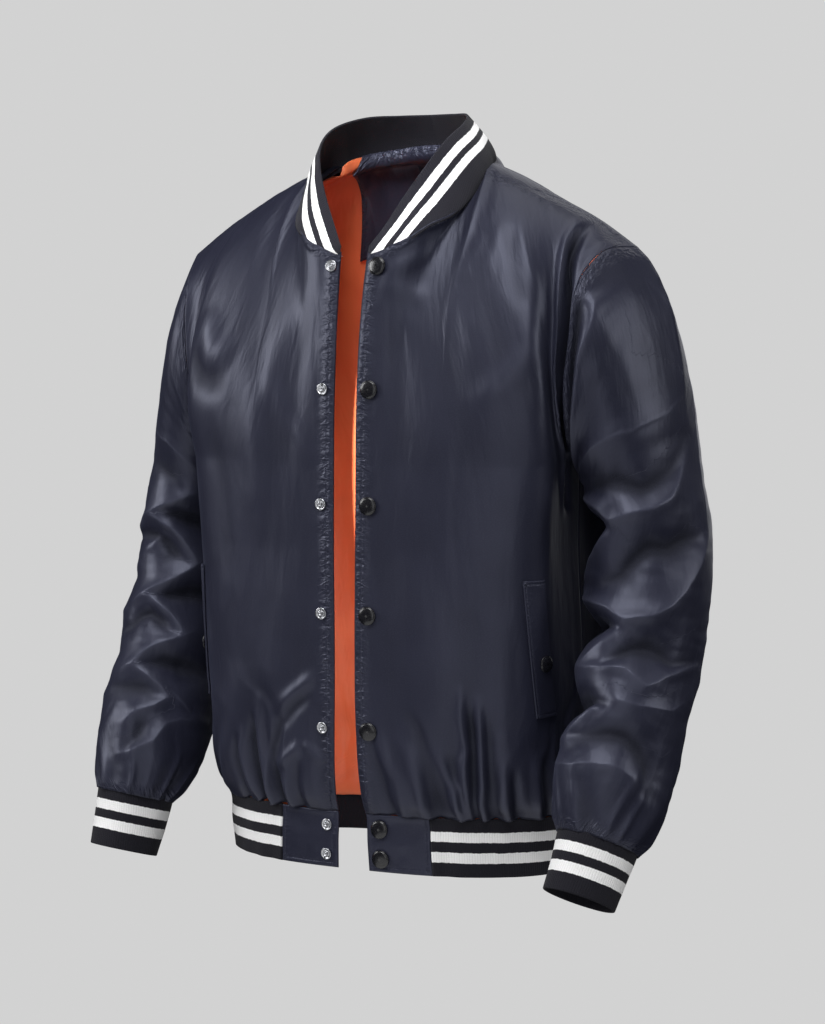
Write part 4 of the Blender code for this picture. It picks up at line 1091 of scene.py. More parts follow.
# %% Group: satin's surface
def satin_group():
    """Ripples, a fine grain of threads and a slow drift of shade, each from 0 to 1."""
    tree, given = group("Satin surface", {"Cloth": None}, ("Ripple", "Thread", "Shade"))
    ripple = speckle(tree, given["Cloth"], (105.0, 30.0), Distortion=0.3)
    shade = speckle(tree, given["Cloth"], 14.0)
    thread = speckle(tree, given["Cloth"], (620.0, 1100.0), 1.0)
    hand_out(tree, Ripple=ripple, Thread=thread, Shade=shade)
    return tree


# %% [markdown]
# ### Crisp creases
# Where satin folds over sharply the fold is about a millimetre round, and catches a thin line of
# light. The Crease map says how far a point is from such a fold, and the ridge is a bump there; the
# cloth's colour is also painted lighter along it, a painted highlight.

# %% Group: crisp creases
def crease_group():
    """The ridge of the nearest crisp fold, from 0 to 1; its line wanders a little."""
    tree, given = group("Crisp creases", {"Crease": None, "Cloth": None, "Width": 0.0017}, ("Ridge",))
    sideways, strength = split(tree, given["Crease"])[:2]
    off = calc(tree, "ADD", sideways, shake(tree, given["Cloth"], 42.0, 2.0, 0.003))
    ridge = calc(tree, "MULTIPLY", bell(tree, off, given["Width"]), strength)
    hand_out(tree, Ridge=ridge)
    return tree


# %% [markdown]
# ### Rib knit
# A two by two rib is a row of rounded ridges with a groove between each two, and each ridge is made
# of small V stitches. Stripes are knitted in, so their edges step a little from rib to rib.

# %% Group: rib knit with two stripes
RIB_PITCH = 0.0024
STITCH_PITCH = 0.0018
STRIPE_NAMES = ("From 1", "To 1", "From 2", "To 2")
STRIPE_BLUR, STRIPE_WANDER = 0.0003, 0.0012     # how soft and how uneven a stripe's edges are


def stripe_edge(tree, up, edge, start, end):
    """A share eased from start to end as the height passes a stripe's edge."""
    low, high = (calc(tree, step, edge, STRIPE_BLUR) for step in ("SUBTRACT", "ADD"))
    return eased(tree, up, low, high, start, end)


def rib_group():
    """The ribs' height, the stripes and the grooves, each as a share. Side is 1 on the outer face,
    the only one with stripes."""
    inputs = {"Cloth": None, "Side": None}
    inputs.update(zip(STRIPE_NAMES, (0.011, 0.021, 0.030, 0.040)))
    tree, given = group("Rib knit", inputs, ("Height", "Stripe", "Groove"))
    across, up = split(tree, given["Cloth"])[:2]
    turn = calc(tree, "MULTIPLY", across, math.pi / RIB_PITCH)
    ridge = calc(tree, "ABSOLUTE", calc(tree, "SINE", turn))
    round_ridge = calc(tree, "POWER", ridge, 0.7)
    lean = calc(tree, "MULTIPLY", ridge, 0.35)
    knit = calc(tree, "ADD", calc(tree, "DIVIDE", up, STITCH_PITCH), lean)
    loops = calc(tree, "SINE", calc(tree, "MULTIPLY", knit, 2 * math.pi))
    height = calc(tree, "ADD", round_ridge, calc(tree, "MULTIPLY", loops, 0.14))
    up = calc(tree, "ADD", up, shake(tree, given["Cloth"], 260.0, 1.0, STRIPE_WANDER))
    stripes = []
    for low, high in (STRIPE_NAMES[:2], STRIPE_NAMES[2:]):
        above = stripe_edge(tree, up, given[low], 0.0, 1.0)
        below = stripe_edge(tree, up, given[high], 1.0, 0.0)
        stripes.append(calc(tree, "MULTIPLY", above, below))
    outside = split(tree, given["Side"])[0]
    stripe = calc(tree, "MULTIPLY", calc(tree, "MAXIMUM", *stripes), outside)
    hand_out(tree, Height=height, Stripe=stripe, Groove=eased(tree, ridge, 0.0, 0.45, 1.0, 0.0))
    return tree


# %% Materials of cloth
NAVY = (0.0205, 0.0215, 0.0385, 1.0)
NAVY_LOW = (0.0165, 0.0174, 0.0320, 1.0)
NAVY_THREAD = (0.030, 0.032, 0.054, 1.0)
# painted highlight on crests and crisp folds, and the lighter colour of the satin's thread grain
NAVY_HIGHLIGHT_AND_GRAIN = (0.055, 0.058, 0.088, 1.0)
# painted shade: the near-black navy that hollows in the cloth are darkened towards
NAVY_PAINTED_SHADE = (0.0040, 0.0042, 0.0080, 1.0)
ORANGE = (0.84, 0.185, 0.065, 1.0)
ORANGE_LOW = (0.74, 0.145, 0.050, 1.0)
BLACK_KNIT = (0.0122, 0.0118, 0.0175, 1.0)
# painted shade in the grooves between a rib's ridges
PAINTED_GROOVE_SHADE = (0.004, 0.004, 0.005, 1.0)
WHITE_KNIT = (0.96, 0.96, 0.96, 1.0)
#  how much of another colour shows: painted shade in hollows, painted highlight on crests and on crisp
#  folds, lighter grain on threads, and painted shade in a rib's grooves
HOLLOW_SHADE, CREST_HIGHLIGHT, CRISP_HIGHLIGHT, GRAIN, GROOVE_SHADE_SHARE = 0.85, 0.36, 0.45, 0.22, 0.16
HOLLOW_ROUGH = 0.35     # how much rougher a hollow is
#  heights of bumps, in metres
THREAD_BUMP, STITCH_BUMP, CREASE_BUMP, RIB_BUMP = 0.00003, 0.0007, 0.00035, 0.00022
STITCHES, SATIN, RIB_KNIT, CREASES = stitch_group(), satin_group(), rib_group(), crease_group()


def blank_material(name, **constants):
    """A material with one Principled shader, its constants set on the shader's own sockets."""
    finish = bpy.data.materials.new(name)
    finish.use_nodes = True
    tree = finish.node_tree
    shader = tree.nodes["Principled BSDF"]
    for key, value in constants.items():
        shader.inputs[key.replace("_", " ")].default_value = value
    return finish, tree, shader


def map_of(tree, name):
    """The vector of one UV map."""
    return wired(tree, "ShaderNodeUVMap", uv_map=name).outputs[0]


def blended(tree, share, low, high):
    """Two colours mixed by a share."""
    node = wired(tree, "ShaderNodeMix", {"Factor": share}, data_type="RGBA")
    for key, value in (("A", low), ("B", high)):
        feed(tree, next(s for s in node.inputs if s.name == key and s.type == "RGBA"), value)
    return next(s for s in node.outputs if s.type == "RGBA")


def bumped(tree, shader, rows):
    """A chain of bumps: each row is a height and its size in metres."""
    normal = None
    for height, size in rows:
        inputs = {"Height": height, "Distance": size, "Strength": 1.0}
        if normal is not None:
            inputs["Normal"] = normal
        normal = wired(tree, "ShaderNodeBump", inputs).outputs[0]
    tree.links.new(normal, shader.inputs["Normal"])


def cloth_material(name, low, high, thread, edge, deep, ripple_size, pucker_size, **constants):
    """A woven cloth: its tone drifts a little, painted shade darkens its hollows, a painted highlight
    lightens its crests and crisp folds, and its threads show as a lighter grain; its ripples,
    stitches and puckers are bumps."""
    finish, tree, shader = blank_material(name, **constants)
    surface = use(tree, SATIN, {"Cloth": map_of(tree, "Cloth")})
    seam = use(tree, STITCHES, {"Seam": map_of(tree, "Seams"), "Cloth": map_of(tree, "Cloth")})
    below, above = split(tree, map_of(tree, "Fold"))[:2]
    crease = use(tree, CREASES, {"Crease": map_of(tree, "Crease"), "Cloth": map_of(tree, "Cloth")})
    ridge, weft, stitch = crease.outputs["Ridge"], surface.outputs["Thread"], seam.outputs["Thread"]
    colour = blended(tree, eased(tree, surface.outputs["Shade"], 0.35, 0.65), low, high)
    # painted shade: hollows are darkened towards a near-black colour
    colour = blended(tree, calc(tree, "MULTIPLY", below, HOLLOW_SHADE), colour, deep)
    # painted highlight: crests and crisp folds are lightened
    colour = blended(tree, calc(tree, "MULTIPLY", above, CREST_HIGHLIGHT), colour, edge)
    colour = blended(tree, calc(tree, "MULTIPLY", ridge, CRISP_HIGHLIGHT), colour, edge)
    colour = blended(tree, eased(tree, weft, 0.42, 0.80, 0.0, GRAIN), colour, edge)
    colour = blended(tree, stitch, colour, thread)
    tree.links.new(colour, shader.inputs["Base Color"])
    rough = constants["Roughness"]
    roughness = eased(tree, below, 0.0, 1.0, rough, min(rough + HOLLOW_ROUGH, 1.0))
    tree.links.new(roughness, shader.inputs["Roughness"])
    dip = calc(tree, "SUBTRACT", calc(tree, "MULTIPLY", stitch, 0.5), seam.outputs["Dip"])
    bumped(tree, shader, (
        (surface.outputs["Ripple"], ripple_size), (weft, THREAD_BUMP), (dip, STITCH_BUMP),
        (seam.outputs["Pucker"], pucker_size), (ridge, CREASE_BUMP),
    ))
    return finish


SATIN_SHINE = {
    "Roughness": 0.41, "Sheen_Weight": 0.05, "Sheen_Roughness": 0.35,
    "Sheen_Tint": (0.55, 0.60, 0.95, 1.0), "Specular_Tint": (0.74, 0.78, 1.0, 1.0),
}
NAVY_COLOURS = (NAVY_LOW, NAVY, NAVY_THREAD, NAVY_HIGHLIGHT_AND_GRAIN, NAVY_PAINTED_SHADE)
satin = cloth_material("satin", *NAVY_COLOURS, 0.00050, 0.0026, **SATIN_SHINE)
satin_flat = cloth_material("satin_flat", *NAVY_COLOURS, 0.00038, 0.0007, **SATIN_SHINE)
lining = cloth_material("lining", ORANGE_LOW, ORANGE, ORANGE_LOW, ORANGE, ORANGE_LOW, 0.0012, 0.0012,
                        Roughness=0.55, Sheen_Weight=0.1)


def rib_material(name, *stripes):
    """Rib knit whose two stripes lie between these distances along the Cloth map, with painted
    shade in the grooves between its ribs.
    """
    finish, tree, shader = blank_material(name, Roughness=0.95, Sheen_Weight=0.04,
                                          Specular_IOR_Level=0.25)
    inputs = {"Cloth": map_of(tree, "Cloth"), "Side": map_of(tree, "Seams")}
    inputs.update(zip(STRIPE_NAMES, stripes))
    knit = use(tree, RIB_KNIT, inputs)
    colour = blended(tree, knit.outputs["Stripe"], BLACK_KNIT, WHITE_KNIT)
    # painted shade: the grooves between ribs are darkened
    shadow = calc(tree, "MULTIPLY", knit.outputs["Groove"], GROOVE_SHADE_SHARE)
    colour = blended(tree, shadow, colour, PAINTED_GROOVE_SHADE)
    tree.links.new(colour, shader.inputs["Base Color"])
    bumped(tree, shader, ((knit.outputs["Height"], RIB_BUMP),))
    return finish


rib_on_cuff = rib_material("rib_cuff", 0.0130, 0.0225, 0.0310, 0.0410)
rib_on_collar = rib_material("rib_collar", 0.0100, 0.0176, 0.0235, 0.0311)
rib_on_hem = rib_material("rib_hem", 0.0143, 0.0242, 0.0340, 0.0432)


# %% Materials of the snaps
def grained_material(name, colour, grain, size, **constants):
    """Plastic or metal whose roughness and surface drift a little."""
    finish, tree, shader = blank_material(name, Base_Color=colour, **constants)
    at = wired(tree, "ShaderNodeTexCoord").outputs["Object"]
    spots = speckle(tree, at, grain)
    rough = constants["Roughness"]
    drift = eased(tree, spots, 0.3, 0.7, rough * 0.8, rough * 1.3)
    tree.links.new(drift, shader.inputs["Roughness"])
    bumped(tree, shader, ((spots, size),))
    return finish


CAP_BLACK, STUD_GREY = (0.010, 0.010, 0.013, 1.0), (0.52, 0.53, 0.56, 1.0)
cap_plastic = grained_material("cap_plastic", CAP_BLACK, 900.0, 0.000003, Roughness=0.24,
                               Coat_Weight=0.25, Coat_Roughness=0.12)
stud_metal = grained_material("stud_metal", STUD_GREY, 1200.0, 0.00002, Roughness=0.26, Metallic=1.0)

# %% [markdown]
# ## Body panels
# Two fronts and one back, each cut from satin. A front is stitched 7 mm in from its edge, and the
# neckline is topstitched 5 mm below the collar. Where it is stitched the cloth is held, so folds die
# out there and small puckers take over.


# %% Fronts and back
def seam_map(*lines):
    """The Seams map in metres from several lines, each given as distance off it and distance along
    it in mm: every point takes the line it is nearest to."""
    off = np.stack([np.abs(line[0]) for line in lines])
    along = np.stack([line[1] * np.ones(off.shape[1:]) for line in lines])
    pick = off.argmin(axis=0)[None]
    return np.stack([
        np.take_along_axis(values, pick, axis=0)[0] / 1000 for values in (off, along)
    ], axis=-1)


EDGE_STITCH, NECK_STITCH = 7.0, 5.0
FAR = 99.0              # mm, where a line of stitches doesn't run
CRISP_FOLD = 6.0        # mm, the height from which a front's fold has a crisp crest

fronts = {}
for side, folds, seed in (("left", LEFT_FRONT_FOLDS, 51), ("right", RIGHT_FRONT_FOLDS, 61)):
    grid, x, to_top, ups_and_downs = front_surface(folds, seed)
    height_mm = grid[:, :, 2] * 1000
    in_neck = (panel_columns(FRONT_CELLS) < NECK_SHARE)[None, :]
    seams = seam_map((x - EDGE_STITCH, height_mm), (np.where(in_neck, to_top - NECK_STITCH, FAR), x),
                     line_reading(x, height_mm, SHOULDER_LINE)[:2])
    grid = grid * (MIRROR if side == "right" else 1.0)
    normals = outward(grid, grid_normals(grid))
    crisp = [fold[2] for fold in folds if fold[0] > CRISP_FOLD]
    creases = crease_map(x, height_mm, crisp) if crisp else None
    # the relief gives its hollows painted shade and its crests a painted highlight
    piece = wall(f"front_cloth_{side}", grid, normals, SHELL, seams=seams, creases=creases,
                 folds=ups_and_downs)
    place(piece, satin, "satin", f"front_{side}")
    fronts[side] = (grid, normals, x, height_mm)

back, ups_and_downs = back_surface(71)
back_normals = outward(back, grid_normals(back))
across, up = measure_mm(back)
back_seams = seam_map((up[-1] - up - NECK_STITCH, across))
# the relief gives its hollows painted shade and its crests a painted highlight
piece = wall("back_cloth", back, back_normals, SHELL, seams=back_seams, folds=ups_and_downs)
place(piece, satin, "satin", "back")

# %% [markdown]
# ## Sleeves
# Each sleeve is one cut of satin sewn into a tube along its underside.

# %% Sleeves
SLEEVE_STITCH = 3.0     # mm from both ends of a sleeve
SEAM_ROUND = 480.0      # mm round a sleeve along its stitches
CREST_MM = 1.5          # mm, the mean height from which a crease is a crest

sleeves = {}
for side, lines, seed in (("left", LEFT_SLEEVE_LINES, 11), ("right", RIGHT_SLEEVE_LINES, 31)):
    tube, ups_and_downs = sleeve_surface(side, lines, seed)
    turn, down = sleeve_places(len(tube))
    along = turn * (SEAM_ROUND / TURN_MM)
    seams = seam_map((down - SLEEVE_STITCH, along), (down - SLEEVE_MM + SLEEVE_STITCH, along))
    crests = [line for line in lines if sum(point[2] for point in line) / len(line) > CREST_MM]
    creases = crease_map(turn, down, crests, TURN_MM)
    # the relief gives its hollows painted shade and its crests a painted highlight
    piece = wall(f"sleeve_cloth_{side}", tube, tube_normals(tube), SHELL, closed=True, seams=seams,
                 creases=creases, folds=ups_and_downs)
    place(piece, satin, "satin", f"sleeve_{side}")
    sleeves[side] = tube

# %% [markdown]
# ## Rib knit pieces
# Collar, cuffs and hem band are double rib knit folded at their free edge, so that edge is round.
# The two stripes run parallel to it.


# %% Rounded edges
EDGE_ROWS = np.array([0.0, 0.04, 0.15, 0.32, 0.55, 0.8, 1.1])   # places in half thicknesses
LEAST_HALF = 0.00006
ALL_ROUND = ("first row", "last row", "first column", "last column")


def shares_to_edge(length, thick, count, both=False):
    """Row shares over a length, with extra rows where its start, or both its ends, round off."""
    near = EDGE_ROWS * thick / 2 / length
    far = 1 - near[::-1] if both else np.array([1.0])
    middle = np.linspace(near[-1], far[0] if both else 1.0, count + 1)
    return np.unique(np.round(np.concatenate([near, middle, far]), 6))


def rounded(grid, normals, thick, edges):
    """A grid whose wall narrows to a half circle at each named edge: half the thickness there is
    the root of one less the square of the share left to the edge."""
    across, up = flat_measure(grid)
    reach = {
        "first row": up, "last row": up[-1] - up,
        "first column": across, "last column": across[:, -1:] - across,
    }
    half = np.full(grid.shape[:2], thick / 2)
    for edge in edges:
        share = np.clip(1 - reach[edge] / (thick / 2), 0.0, 1.0)
        half = np.minimum(half, thick / 2 * np.sqrt(1 - share ** 2))
    half = np.maximum(half, LEAST_HALF)[:, :, None]
    return grid - normals * (thick / 2 - half), 2 * half


def striped_outside(grid):
    """Seams maps of a rib piece: ones on the outer face, where the stripes show, and noughts
    behind."""
    return np.ones(grid.shape[:2] + (2,)), np.zeros(grid.shape[:2] + (2,))


# %% Cuffs
CUFF_AROUND, CUFF_CELLS = 120, 34
cuffs = {}
for side in ("left", "right"):
    row = SLEEVE_SECTIONS[-1]
    angles = 2 * math.pi * np.arange(CUFF_AROUND) / CUFF_AROUND
    top = sleeve_ring(row, angles, side, 1.0)
    onward = np.cross(top[0] - top.mean(axis=0), top[CUFF_AROUND // 4] - top.mean(axis=0))
    onward = unit(onward) * (1 if onward[2] < 0 else -1)
    shares = 1 - shares_to_edge(CUFF_LENGTH, RIB, CUFF_CELLS)[::-1]
    rings = []
    for share in shares:
        radius = row[5] + (CUFF_END_RADIUS - row[5]) * share ** CUFF_TAPER
        ring = sleeve_ring(row[:5] + (radius, radius), angles, side, 1.0)
        rings.append(ring + onward * (SEAM + share * (CUFF_LENGTH - SEAM)))
    cuff = np.array(rings) * (MIRROR if side == "right" else 1.0)
    normals = tube_normals(cuff)
    turn = np.degrees(angles)[None, :]
    down = (shares * CUFF_LENGTH * 1000)[:, None]
    wave = noise(turn / 24 + 0 * down, down / 30 + 0 * turn, 81, around=15) * 0.7
    wave = wave * ease(down / 12)
    cuff, thick = rounded(cuff + normals * wave[:, :, None] / 1000, normals, RIB, ("last row",))
    seams = striped_outside(np.concatenate([cuff, cuff[:, :1]], axis=1))
    piece = wall(f"cuff_knit_{side}", cuff, normals, thick, closed=True, seams=seams)
    place(piece, rib_on_cuff, "rib", f"cuff_{side}")
    cuffs[side] = cuff

# %% Collar
#  share  x       y       z      of the collar's free edge, from the front end to the middle behind
COLLAR_EDGE = (
    (0.00, 0.0146, -0.1180, -0.0805),
    (0.10, 0.0255, -0.1085, -0.0625),
    (0.20, 0.0380, -0.1005, -0.0400),
    (0.35, 0.0560, -0.0835, -0.0065),
    (0.50, 0.0670, -0.0600, 0.0195),
    (0.62, 0.0690, -0.0290, 0.0355),
    (0.75, 0.0545, 0.0070, 0.0465),
    (0.88, 0.0285, 0.0310, 0.0490),
    (1.00, 0.0000, 0.0410, 0.0495),
)
COLLAR_TUCK, COLLAR_INSET, COLLAR_INSET_BEHIND = 0.0045, 0.0026, 0.0012
COLLAR_FULLNESS, COLLAR_CENTRE = 0.003, -0.03
COLLAR_HALF, COLLAR_CELLS, COLLAR_HEIGHT = 120, 30, 0.055
COLLAR_BEHIND, COLLAR_TO_BEHIND = 0.38, 0.12    # share of the half where its back part starts


def neck_half(count):
    """Left half of the neckline: from the front edge over the shoulder to the middle of the back."""
    share = np.linspace(0.0, 1.0, 200)
    front = table_points(FRONT_NECKLINE, share)
    front[0] = panel(-1, np.array([0.0]), np.array([0.0, 1.0]), np.array([0.0, 1.0]))[-1, 0]
    back = table_points(BACK_NECKLINE, share)[::-1]
    line = np.concatenate([front, back[1:]])
    return read_line(line, np.linspace(0.0, lengths(line)[-1], count))


def shell_facing(count):
    """The way the shell faces along the left half of the neckline."""
    grid, normals = fronts["left"][:2]
    inside = round(FRONT_CELLS * NECK_COLUMNS) + 1
    half = round(BACK_CELLS * NECK_COLUMNS) + 1
    behind = slice(BACK_CELLS, BACK_CELLS + half)
    line = np.concatenate([grid[-2, :inside], (back[-2, behind] * MIRROR)[::-1]])
    facing = np.concatenate([normals[-2, :inside], (back_normals[-2, behind] * MIRROR)[::-1]])
    place = lengths(line)
    at = np.linspace(0.0, place[-1], count)
    return unit(np.stack([np.interp(at, place, facing[:, axis]) for axis in range(3)], axis=-1))


def collar_grid():
    """Outer face of the collar: rows from its free edge down to the neckline, columns from the left
    front end round the back to the right one, a little fuller than straight."""
    base = neck_half(COLLAR_HALF + 1)
    edge = table_points(COLLAR_EDGE, np.linspace(0.0, 1.0, COLLAR_HALF + 1))
    away = unit((base - np.array([0.0, COLLAR_CENTRE, 0.0])) * LEVEL)
    behind = np.linspace(0.0, 1.0, COLLAR_HALF + 1) - COLLAR_BEHIND
    behind = ease(behind / COLLAR_TO_BEHIND)[:, None]
    inset = COLLAR_INSET + (COLLAR_INSET_BEHIND - COLLAR_INSET) * behind
    foot = base - unit(edge - base) * COLLAR_TUCK - shell_facing(COLLAR_HALF + 1) * inset
    t = 1 - shares_to_edge(COLLAR_HEIGHT, RIB, COLLAR_CELLS)[:, None, None]
    full = away * (COLLAR_FULLNESS * (1 + behind)) * np.sin(math.pi * t ** 0.7)
    left = foot + (edge - foot) * t + full
    return np.concatenate([left, (left * MIRROR)[:, -2::-1]], axis=1)


collar = collar_grid()
normals = outward(collar, grid_normals(collar))
share = np.linspace(0, 40, collar.shape[1])[None, :] * np.ones((collar.shape[0], 1))
fall = measure_mm(collar)[1]
ripple = noise(share, fall / 40, 91) * 0.5 * ease(fall / 10)
collar, thick = rounded(collar + normals * ripple[:, :, None] / 1000, normals, RIB,
                        ("first row", "first column", "last column"))
piece = wall("collar_knit", collar, normals, thick, seams=striped_outside(collar))
place(piece, rib_on_collar, "rib", "collar")


# %% Hem band and its tabs
BAND_LIFT = 0.0013
BAND_AROUND, BAND_CELLS = 341, 30
TAB_COLUMNS, TAB_CELLS = 40, 34
TAB_STITCH, TAB_SEAM_STITCH = 5.0, 4.0          # mm in from its free edges, and from the band


def band_ring(z):
    """The hem band's outer line at height z, from the left front end round the back to the right."""
    front = section(z, -1, float(smooth(FRONT_GAP, 1, z)))
    back = section(z, 1)[::-1]
    left = np.concatenate([front, back[1:]])
    return np.concatenate([left, (left * MIRROR)[-2::-1]])


def band_grid(start, end, columns, cells, both=False):
    """Part of the hem band between two distances round it, rows from its lower edge up."""
    bottom = BAND_BOTTOM_Z + BAND_LIFT
    tall = HEM_Z - SEAM - bottom
    rows = []
    for share in shares_to_edge(tall, RIB, cells, both):
        line = band_ring(bottom + tall * share)
        stop = end if end > 0 else lengths(line)[-1] + end
        rows.append(read_line(line, start + (stop - start) * columns))
    return dropped(np.array(rows))


band = band_grid(TAB_WIDTH + SEAM, -(TAB_WIDTH + SEAM), np.linspace(0, 1, BAND_AROUND), BAND_CELLS)
normals = outward(band, grid_normals(band))
share = np.linspace(0, 60, BAND_AROUND)[None, :] * np.ones((len(band), 1))
wave = noise(share, band[:, :, 2] / 0.03 + 40, 95) * 0.9
band, thick = rounded(band + normals * wave[:, :, None] / 1000, normals, RIB, ("first row",))
piece = wall("hem_band_knit", band, normals, thick, seams=striped_outside(band))
place(piece, rib_on_hem, "rib", "hem_rib")

tab_rows = {}
for side in ("left", "right"):
    columns = shares_to_edge(TAB_WIDTH, RIB, TAB_COLUMNS, True)
    tab = band_grid(0.0, TAB_WIDTH, columns, TAB_CELLS, True)
    normals = outward(tab, grid_normals(tab))
    across, up = measure_mm(tab)
    inner = across[:, -1:] - across
    lumps = noise(across / 9, up / 9, 97 if side == "left" else 98) * 0.35
    edge_gap = np.minimum(np.minimum(across, up), np.minimum(inner, up[-1:] - up))
    quilt = 0.5 * np.sin(math.pi * np.clip(edge_gap / 5, 0, 1)) - 0.2
    shaped = tab + normals * ((lumps + quilt) * ease(edge_gap / 2))[:, :, None] / 1000
    shaped, thick = rounded(shaped, normals, RIB, ALL_ROUND)
    seams = seam_map((across - TAB_STITCH, up), (up - TAB_STITCH, across),
                     (inner - TAB_SEAM_STITCH, up))
    flip = MIRROR if side == "right" else 1.0
    piece = wall(f"hem_tab_cloth_{side}", shaped * flip, normals * flip, thick, seams=seams)
    place(piece, satin_flat, "satin", f"hem_tab_{side}")
    tab_rows[side] = (shaped * flip, normals * flip, across, shaped[:, :, 2] * 1000)

# %% [markdown]
# ## Lining
# The lining is cut like the body, hangs just inside it and bags down inside the hem band. It is
# looser than the shell, so it has slow folds of its own. Behind the neck it turns up to the collar.

# %% Linings
LINING_BAG, LINING_DRAW, LINING_HANG = 0.020, 0.004, 0.003
LINING_TOP = 0.0030     # how much further in, and lower, it lies at its top edge
NECK_CORNER = table_points(FRONT_NECKLINE, np.array([1.0]))[0, 0]
CORNER_WIDTH, CORNER_DROP, CORNER_IN = 0.022, 0.008, 0.004     # room for the collar's foot there
LINING_EASE = 0.0012
BEHIND = SHELL + LAYER + LINING_EASE
BRIM_RISE, BRIM_SLOPE, BRIM_ROWS = 0.009, 0.004, 4
BRIM_LEAN, BRIM_BEYOND, BRIM_FADE = 0.001, 0.002, 0.008         # its lean, and its two ends
BAG_ROWS, BAG_BULGE = 6, 0.002


def lining_grid(shell, normals, seed, rise=0.0):
    """A shell's own grid, thinned and moved in, with loose folds that only push it further in, and
    a bag below its hem. With a rise its top edge stands up, to be sewn to the collar."""
    thin, facing = shell[::2, 1:-1:2], normals[::2, 1:-1:2]
    across, up = measure_mm(thin)
    loose = noise(across / 34, up / 130, seed) + 0.5 * noise(across / 14, up / 90, seed + 1)
    loose = (loose * 1.6 + 2.0).clip(0)
    top = ease((up[-1] - up) / 30)
    facing = unit(np.stack([blurred(facing[:, :, axis], 3.0) for axis in range(3)], axis=-1))
    grid = thin - facing * (BEHIND + (1 - top) * LINING_TOP + loose * top / 1000)[:, :, None]
    corner = np.exp(-(((thin[:, :, 0] - NECK_CORNER) / CORNER_WIDTH) ** 2)) * (1 - top)
    grid = grid - UP * (LINING_TOP * (1 - top) + CORNER_DROP * corner)[:, :, None]
    grid = grid - facing * (CORNER_IN * corner)[:, :, None]
    level = facing[0] * LEVEL
    share = np.linspace(1.0, 0.0, BAG_ROWS)[:, None, None]
    hem = thin[0] - level * (RIB + LINING_HANG)
    bag = hem - level * LINING_DRAW * share - LINING_BAG * share * UP
    bag = bag - level * BAG_BULGE * np.sin(math.pi * share)
    grid = np.concatenate([bag, grid[3:]])
    facing = np.concatenate([np.repeat(facing[:1], BAG_ROWS, axis=0), facing[3:]])
    if rise:
        upright = unit(facing[-1] * LEVEL)
        brim = grid[-1] + unit(grid[-1] - grid[-4]) * BRIM_SLOPE
        beside = NECK_CORNER + BRIM_BEYOND - np.abs(grid[-1, :, 0])
        open_part = ease(beside / BRIM_FADE) * (1 - corner[-1])
        brim = grid[-1] + (brim - grid[-1]) * open_part[:, None]
        share = np.linspace(0.0, 1.0, BRIM_ROWS)[:, None, None] * open_part[None, :, None]
        grid = np.concatenate([grid, brim + (rise * UP + BRIM_LEAN * upright) * share])
        brim_facing = [unit(facing[-1] + upright)] + [upright] * (BRIM_ROWS - 1)
        facing = np.concatenate([facing, np.stack(brim_facing)])
    return grid, facing


FACING_CELLS = 6        # columns of a front that its own turned-in edge covers
ARMHOLE_CELLS, BACK_ARMHOLE_CELLS = 8, 3
lining_grids = {}
for side in ("left", "right"):
    shell, normals = (values[:, FACING_CELLS:-ARMHOLE_CELLS] for values in fronts[side][:2])
    grid, facing = lining_grid(shell, normals, 101 if side == "left" else 103)
    piece = wall(f"lining_cloth_{side}", grid, facing, LINING)
    place(piece, lining, "lining", f"lining_front_{side}")
    lining_grids[side] = grid
middle = slice(BACK_ARMHOLE_CELLS, -BACK_ARMHOLE_CELLS)
shell, normals = back[:, middle], back_normals[:, middle]
grid, facing = lining_grid(shell, normals, 107, BRIM_RISE)
piece = wall("lining_cloth_back", grid, facing, LINING)
place(piece, lining, "lining", "lining_back")
lining_grids["back"] = grid


# %% [markdown]
# ### Patch at the back neck
# A second piece of satin lies over the lining behind the neck. It follows the lining's own grid, a
# hair further in, up its brim to the collar, where it is gathered into ruffles.

# %% Reading a grid between its points
def reading(values, row, column):
    """A grid's values at fractional rows and columns, from the four points around each."""
    i = np.clip(np.floor(row).astype(int), 0, values.shape[0] - 2)
    j = np.clip(np.floor(column).astype(int), 0, values.shape[1] - 2)
    u, v = row - i, column - j
    if values.ndim == 3:
        u, v = np.asarray(u)[..., None], np.asarray(v)[..., None]
    low = values[i, j] * (1 - v) + values[i, j + 1] * v
    high = values[i + 1, j] * (1 - v) + values[i + 1, j + 1] * v
    return low * (1 - u) + high * u


def spots_on(x, y, across, height):
    """Fractional rows and columns where a panel is this far round and this high, in mm; a few turns
    of reading each from the other settle them."""
    across, height = np.atleast_1d(across).astype(float), np.atleast_1d(height).astype(float)
    columns = np.full(across.shape, 10.0)
    row_numbers, column_numbers = np.arange(len(y)), np.arange(x.shape[1])
    for _ in range(4):
        rows = np.array([np.interp(h, y[:, round(c)], row_numbers) for h, c in zip(height, columns)])
        columns = np.array([np.interp(a, x[round(r)], column_numbers) for a, r in zip(across, rows)])
    return rows, columns


# %% Patch
PATCH_HALF_WIDTHS, PATCH_LENGTH = (0.0700, 0.1030), 0.124
PATCH_COLUMNS, PATCH_ROWS = 161, 44
PATCH_GAP, PATCH_LIFT = 0.0012, 0.0015
PATCH_PLEAT, PATCH_FADE, RUFFLE = 15.0, 45.0, 3.4       # widths and a length in mm
PATCH_STITCH, RUFFLE_STITCH = 3.0, 2.5


def along_x(at, line, values):
    """Values read along a line of points at these places in x."""
    order = np.argsort(line[:, 0])
    x, values = line[order, 0], values[order]
    return np.stack([np.interp(at, x, values[:, axis]) for axis in range(3)], axis=-1)


